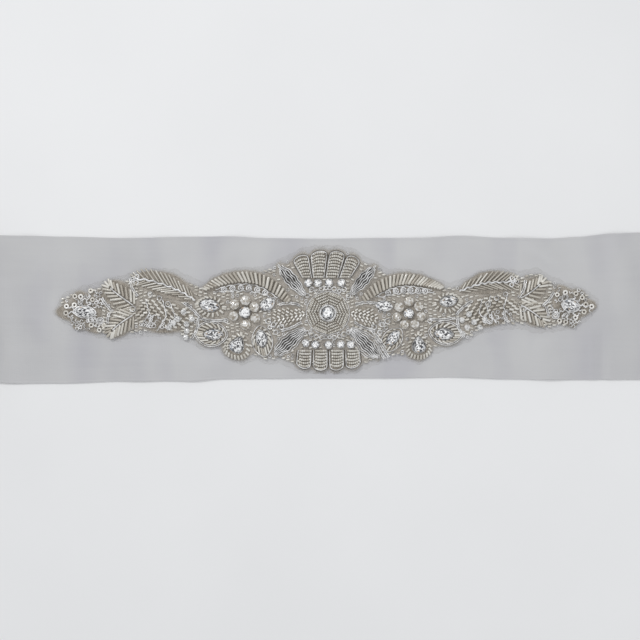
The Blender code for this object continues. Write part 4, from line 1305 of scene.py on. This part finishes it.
def cut_stone(row):
    """A fancy stone: foot, girdle and crown, its facets turned a half step from ring to ring."""
    sides = 12 if row.shape == "round" else 14
    bpy.ops.object.select_all(action="DESELECT")
    bpy.ops.mesh.primitive_circle_add(vertices=sides, radius=0.74, fill_type="NGON")
    stone = bpy.context.object
    stone.name = row.name + "_cut"
    bpy.ops.object.mode_set(mode="EDIT")
    for rise, size, turn in STONE_RINGS:
        bpy.ops.mesh.extrude_region_move(TRANSFORM_OT_translate={"value": (0.0, 0.0, rise)})
        bpy.ops.transform.resize(value=(size, size, 1.0), center_override=(0.0, 0.0, 0.0))
        bpy.ops.transform.rotate(value=turn * math.pi / sides, orient_axis="Z",
                                 center_override=(0.0, 0.0, 0.0))
    bpy.ops.mesh.inset(thickness=0.22)
    bpy.ops.transform.rotate(value=math.pi / sides, orient_axis="Z", center_override=(0.0, 0.0, 0.0))
    bpy.ops.mesh.poke()
    bpy.ops.mesh.select_all(action="SELECT")
    bpy.ops.mesh.quads_convert_to_tris()
    bpy.ops.mesh.normals_make_consistent(inside=False)
    bpy.ops.object.mode_set(mode="OBJECT")
    mesh = stone.data
    for point in mesh.vertices:
        size = math.hypot(point.co.x, point.co.y)
        turn = (math.atan2(point.co.y, point.co.x) / math.tau) % 1.0
        spot = rotated(stone_outline(row.shape, row.length * size, row.width * size, turn), row.turn)
        height = PAD_BASE + point.co.z * row.height
        point.co = Vector((row.x + spot.x, row.y + spot.y, height)) * MM
    flash = mesh.attributes.new("flash", "FLOAT", "FACE")
    crown = (PAD_BASE + 0.98 * row.height) * MM
    girdle = (PAD_BASE + 0.5 * row.height) * MM
    # Each facet's colour is a painted reflection: dark below the girdle, picked from a list on the table, now
    # and then coloured.
    for index, face in enumerate(mesh.polygons):
        face.use_smooth = False
        value = chance.choice((0.12, 0.25, 0.4, 0.6, 0.6, 0.8, 0.85))
        if face.center.z < girdle:
            value = 0.15
        elif face.center.z > crown:
            value = chance.choice(TABLE_FLASHES[row.shape == "round"])
        elif chance.random() < 0.06:
            value = chance.choice((0.93, 0.98))
        flash.data[index].value = value
    mesh.materials.append(crystal)
    keep(stone, "cut_crystal", row.name)


def tie_stations():
    """Path of the right-hand tie from the seam: (x, height, run, share of its run)."""
    stations = []
    middle = RIBBON_TOP - CLOTH_WALL / 2.0
    loop = FOLD_PITCH / 2.0
    for run in range(FOLD_RUNS):
        row = FOLD_RUN_ROWS[run]
        near = FOLD_INNER_X + row.shift + 1.15
        far = FOLD_OUTER_X + row.shift * 0.5 - 1.15
        if run == 0:
            near = FRONT_HALF + RIBBON_STEP
        if run == FOLD_RUNS - 1:
            far += 1.15
        count = int((far - near) / RIBBON_STEP)
        ends = (near, far) if run % 2 == 0 else (far, near)
        for step in range(count + 1):
            share = step / count
            x = ends[0] + (ends[1] - ends[0]) * share
            stations.append((x, middle + run * FOLD_PITCH, run, (x - near) / (far - near)))
        if run < FOLD_RUNS - 1:
            outwards = 1.0 if run % 2 == 0 else -1.0
            for step in range(1, 6):
                turn = math.pi * step / 6
                stations.append((ends[1] + outwards * loop * math.sin(turn),
                                 middle + run * FOLD_PITCH + loop * (1.0 - math.cos(turn)),
                                 run + (0.5 if step > 2 else 0.0), 1.0 if outwards > 0 else 0.0))
    return stations


def weave_ribbon():
    """One ribbon from cut end to cut end: the flat front and both folded ties."""
    tie = tie_stations()
    front = [-FRONT_HALF + step * 2.0 * FRONT_HALF / 150 for step in range(151)]
    rows = [(-1.0, *station) for station in reversed(tie)]
    rows += [(0.0, x, 0.0, 0, 0.0) for x in front]
    rows += [(1.0, *station) for station in tie]
    points = []
    lengths = []
    travelled = 0.0
    for side, x, height, run, share in rows:
        line = []
        for strip in range(RIBBON_STRIPS + 1):
            across = strip / RIBBON_STRIPS
            if side == 0.0:
                edges = table_at(RIBBON_EDGES, x)
                y = edges.front + (edges.back - edges.front) * across
                line.append(Vector((x, y, ribbon_height(x, y) - CLOTH_WALL / 2.0)))
                continue
            row = FOLD_RUN_ROWS[int(run)]
            half = RIBBON_WIDTH / 2.0 - (0.6 if run > 0 else 0.0)
            y = -half + 2.0 * half * across + row.skew * share
            place = x
            if int(run) == FOLD_RUNS - 1:
                place -= share * (CUT_END_INSET + CUT_END_SLANT * across)
            if run == 0 and x < FOLD_INNER_X + 4.0:
                edges = table_at(RIBBON_EDGES, side * FRONT_HALF)
                mixed = ease(x, FRONT_HALF, FOLD_INNER_X + 4.0)
                y = (edges.front + (edges.back - edges.front) * across) * (1.0 - mixed) + y * mixed
            sway = 0.12 * math.sin(x / 8.0 + run) * math.sin(y / 13.0) if run == 0 else 0.0
            line.append(Vector((side * place, y, height + max(sway, 0.0))))
        if points:
            travelled += (line[RIBBON_STRIPS // 2] - points[-1][RIBBON_STRIPS // 2]).length
        points.append(line)
        lengths.append(travelled)
    mesh = bpy.data.meshes.new("satin_ribbon")
    width = RIBBON_STRIPS + 1
    faces = [(row * width + strip, (row + 1) * width + strip, (row + 1) * width + strip + 1,
              row * width + strip + 1)
             for row in range(len(points) - 1) for strip in range(RIBBON_STRIPS)]
    mesh.from_pydata([point * MM for line in points for point in line], [], faces)
    weave = mesh.uv_layers.new(name="ribbon")
    for loop in mesh.loops:
        row, strip = divmod(loop.vertex_index, width)
        weave.data[loop.index].uv = ((strip / RIBBON_STRIPS - 0.5) * RIBBON_WIDTH * MM,
                                     lengths[row] * MM)
    mesh.materials.append(satin)
    ribbon = bpy.data.objects.new("satin_ribbon", mesh)
    bpy.context.collection.objects.link(ribbon)
    bpy.ops.object.select_all(action="DESELECT")
    ribbon.select_set(True)
    bpy.context.view_layer.objects.active = ribbon
    wall = ribbon.modifiers.new("wall", "SOLIDIFY")
    wall.thickness = CLOTH_WALL * MM
    wall.offset = 0.0
    bpy.ops.object.modifier_apply(modifier=wall.name)
    bpy.ops.object.shade_smooth_by_angle(angle=math.radians(50.0))
    keep(ribbon, "satin_ribbon", "ribbon_front", "ribbon_left_tie", "ribbon_right_tie")
    return ribbon


def trim_net():
    """The net under the beads, trimmed by hand a little outside them and pressed down at its rim."""
    cells = (260, 44)
    start = NET_OUTLINE[0].x
    length = NET_OUTLINE[-1].x - start
    points = []
    rims = []
    area = 0.0
    for column in range(cells[0] + 1):
        x = start + length * column / cells[0]
        row = table_at(NET_OUTLINE, x)
        front = row.front + 0.35 * math.sin(x * 0.9) + 0.25 * math.sin(x * 2.3 + 1.0)
        back = row.back + 0.35 * math.sin(x * 0.8 + 2.0) + 0.25 * math.sin(x * 2.1)
        area += (back - front) * length / cells[0]
        for line in range(cells[1] + 1):
            y = front + (back - front) * line / cells[1]
            inside = min(y - front, back - y, (x - start) * 0.8 + 0.2, (start + length - x) * 0.8 + 0.2)
            raised = ease(inside, 0.0, 3.6)
            points.append(Vector((x, y, RIBBON_TOP + 0.3 + (NET_TOP - RIBBON_TOP - 0.45) * raised)))
            near = PAD_TREE.find_nearest(Vector((x, y, PAD_BASE)))[3]
            rims.append(ease(inside, 0.4, 3.0) * max(1.0 - ease(near, 0.2, 1.7), ease(inside, 4.0, 6.5)))
    mesh = bpy.data.meshes.new("trimmed_net")
    width = cells[1] + 1
    faces = [(column * width + line, (column + 1) * width + line, (column + 1) * width + line + 1,
              column * width + line + 1)
             for column in range(cells[0]) for line in range(cells[1])]
    mesh.from_pydata([point * MM for point in points], [], faces)
    rim = mesh.attributes.new("rim", "FLOAT", "POINT")
    rim.data.foreach_set("value", rims)
    mesh.materials.append(beige_net)
    net = bpy.data.objects.new("trimmed_net", mesh)
    bpy.context.collection.objects.link(net)
    bpy.ops.object.select_all(action="DESELECT")
    net.select_set(True)
    bpy.context.view_layer.objects.active = net
    wall = net.modifiers.new("wall", "SOLIDIFY")
    wall.thickness = 0.15 * MM
    wall.offset = 0.0
    bpy.ops.object.modifier_apply(modifier=wall.name)
    bpy.ops.object.shade_smooth()
    keep(net, "beige_net", "applique_net")
    area * MM * MM
    return net


CRYSTALS = {
    "mid_field_left": ((-97.2, -2.7), (-100.9, -7.4), (-91.8, -7.4), (-104.0, -10.1),
                       (-95.2, -10.8), (-95.2, -15.5), (-107.0, -12.8), (-95.9, -19.6)),
    "mid_field_right": ((90.5, -8.0), (95.0, -4.2), (98.5, -9.5), (94.0, -13.0),
                        (102.4, -13.0), (91.0, -17.4), (106.0, -8.4)),
}
# Cord curls and cords that join the motifs, mirrored about the middle
CurlRow = namedtuple("CurlRow", "x y size")
CURLS = (
    CurlRow(10.9, 12.6, 1.5), CurlRow(7.6, 11.4, 1.2), CurlRow(4.2, 12.8, 1.5), CurlRow(1.2, 13.4, 1.1),
    CurlRow(13.9, 8.4, 1.4), CurlRow(10.9, -17.8, 1.6), CurlRow(7.8, -19.2, 1.3), CurlRow(4.3, -19.9, 1.4),
    CurlRow(1.3, -19.7, 1.1), CurlRow(14.0, -16.4, 1.3), CurlRow(40.2, -8.9, 1.7), CurlRow(36.6, -11.2, 1.5),
    CurlRow(31.2, -12.9, 1.6), CurlRow(35.0, -16.4, 1.5), CurlRow(39.2, -13.2, 1.2), CurlRow(68.6, -8.6, 1.3),
    CurlRow(131.6, -0.6, 1.8), CurlRow(113.6, 6.6, 1.5), CurlRow(107.8, 2.6, 1.7), CurlRow(119.8, 9.4, 1.4),
)
StalkRow = namedtuple("StalkRow", "x y end_x end_y")
LEAF_STALKS = (StalkRow(-128.7, -1.9, -146.2, -4.9), StalkRow(127.4, 2.6, 143.6, 1.4))
JoinRow = namedtuple("JoinRow", "x y end_x end_y bow right_shift")
JOINING_CORDS = (
    JoinRow(97.5, 3.5, 86.3, -6.4, -0.8, 1.5), JoinRow(87.6, -6.8, 91.9, -20.6, -1.6, 0.6),
    JoinRow(86.0, -7.2, 68.2, -7.9, 1.0, 0.6), JoinRow(118.7, -4.7, 122.1, -12.8, -1.2, 3.0),
    JoinRow(105.7, -7.7, 109.6, -13.7, -1.0, 3.0), JoinRow(152.4, 6.8, 144.9, -2.6, 0.6, 4.0),
    JoinRow(147.3, -3.0, 148.4, -10.6, 0.5, 4.0), JoinRow(18.6, 1.8, 33.0, 2.4, 1.2, 0.6),
    JoinRow(17.8, -9.4, 31.6, -15.2, -0.9, 0.0), JoinRow(133.2, 19.8, 128.4, 8.0, 1.2, -1.0),
)
# Loose ends of the lower right spray
SPRAY_ENDS = (
    JoinRow(29.6, -15.4, 38.4, -27.0, 0.5, 0.0), JoinRow(31.8, -20.6, 41.0, -33.4, 0.6, 0.0),
    JoinRow(33.6, -25.6, 38.4, -34.4, -0.4, 0.0),
)
# Painted reflections for the stone tables: fancy shapes first, then rounds
TABLE_FLASHES = ((0.05, 0.12, 0.4, 0.8, 0.85), (0.85, 0.85, 0.8, 0.8, 0.6, 0.15))
STONE_RINGS = ((0.45, 1.0 / 0.74, 0.0), (0.10, 1.0, 0.0), (0.27, 0.82, 1.0), (0.18, 0.74, 1.0))
GROUND_NODES = (
    *FANS, *ARC_WINGS, *CHEVRONS, *OUTER_LEAVES, *FEATHER_LEAVES, *MID_FIELDS, *END_RINGS,
    *FLOWERS, "centre_disc", *(row.name for row in STONE_LEAVES),
)

PAD_TREE = pad_tree()

ribbon = weave_ribbon()
net = trim_net()
lay_ground("tan_stitching", GROUND_NODES, tan_stitching, 0.42, 1.0)
# The sprays' near-black ground: painted shadow between their loops.
lay_ground("dark_stitching", tuple(SPRAYS), dark_stitching, 0.42, 0.84)
for leaf, spine in OUTER_LEAVES.items():
    lay_outer_leaf(leaf, spine)
lay_feather_leaf("feather_leaf_left", FEATHER_LEAVES["feather_leaf_left"], 1.0)
lay_feather_leaf("feather_leaf_right", FEATHER_LEAVES["feather_leaf_right"], -1.0)
lay_arc_wing("arc_wing_left", ARC_WINGS["arc_wing_left"], 1.0)
lay_arc_wing("arc_wing_right", ARC_WINGS["arc_wing_right"], -1.0)
for field, spine in CHEVRONS.items():
    lay_chevron(field, spine)
for fan, edges in FANS.items():
    lay_fan(fan, edges)
lay_disc()
for (spray, spine), loops in zip(SPRAYS.items(), SPRAY_LOOPS):
    lay_spray(spray, spine, loops)
for leaf in STONE_LEAVES:
    lay_stone_leaf(leaf)
lay_mid_field("mid_field_left", MID_FIELDS["mid_field_left"], -1.0)
lay_mid_field("mid_field_right", MID_FIELDS["mid_field_right"], 1.0)
lay_end_spray("end_spray_left", "stone_left_1", -1.0)
lay_end_spray("end_spray_right", "stone_right_1", 1.0)
for flower in FLOWERS:
    lay_flower(flower)
for stone in STONES:
    cut_stone(stone)
fill_between()


# Floor, light and camera

VIEW_WIDTH = 432.6
VIEW_X = -5.3
VIEW_Y = -8.1
LENS = 80.0
SENSOR = 36.0

bpy.ops.object.select_all(action="DESELECT")
bpy.ops.mesh.primitive_plane_add(size=6.0)
floor = bpy.context.object
floor.name = "studio_floor"
floor.data.materials.append(floor_finish())


def hang_light(name, spot, size, power):
    lamp = bpy.data.lights.new(name, "AREA")
    lamp.shape = "SQUARE"
    lamp.size = size
    lamp.energy = power
    made = bpy.data.objects.new(name, lamp)
    bpy.context.collection.objects.link(made)
    made.location = spot
    made.rotation_euler = (-Vector(spot)).to_track_quat("-Z", "Y").to_euler()


hang_light("key_light", (-0.55, 0.75, 1.15), 0.3, 6.4)
hang_light("fill_light", (0.95, -0.35, 1.0), 0.9, 2.4)
hang_light("top_light", (0.1, 0.1, 1.6), 0.4, 3.6)

world = bpy.data.worlds.new("studio")
bpy.context.scene.world = world
world.use_nodes = True
sky = world.node_tree.nodes["Background"]
sky.inputs["Color"].default_value = (0.95, 0.97, 1.0, 1.0)
sky.inputs["Strength"].default_value = 0.58
bpy.context.scene.view_settings.view_transform = "Standard"

lens = bpy.data.cameras.new("overhead_camera")
lens.lens = LENS
lens.sensor_width = SENSOR
lens.clip_start = 0.05
lens.clip_end = 20.0
camera = bpy.data.objects.new("overhead_camera", lens)
bpy.context.collection.objects.link(camera)
camera.location = Vector((VIEW_X, VIEW_Y, RIBBON_TOP + VIEW_WIDTH * LENS / SENSOR)) * MM
bpy.context.scene.camera = camera
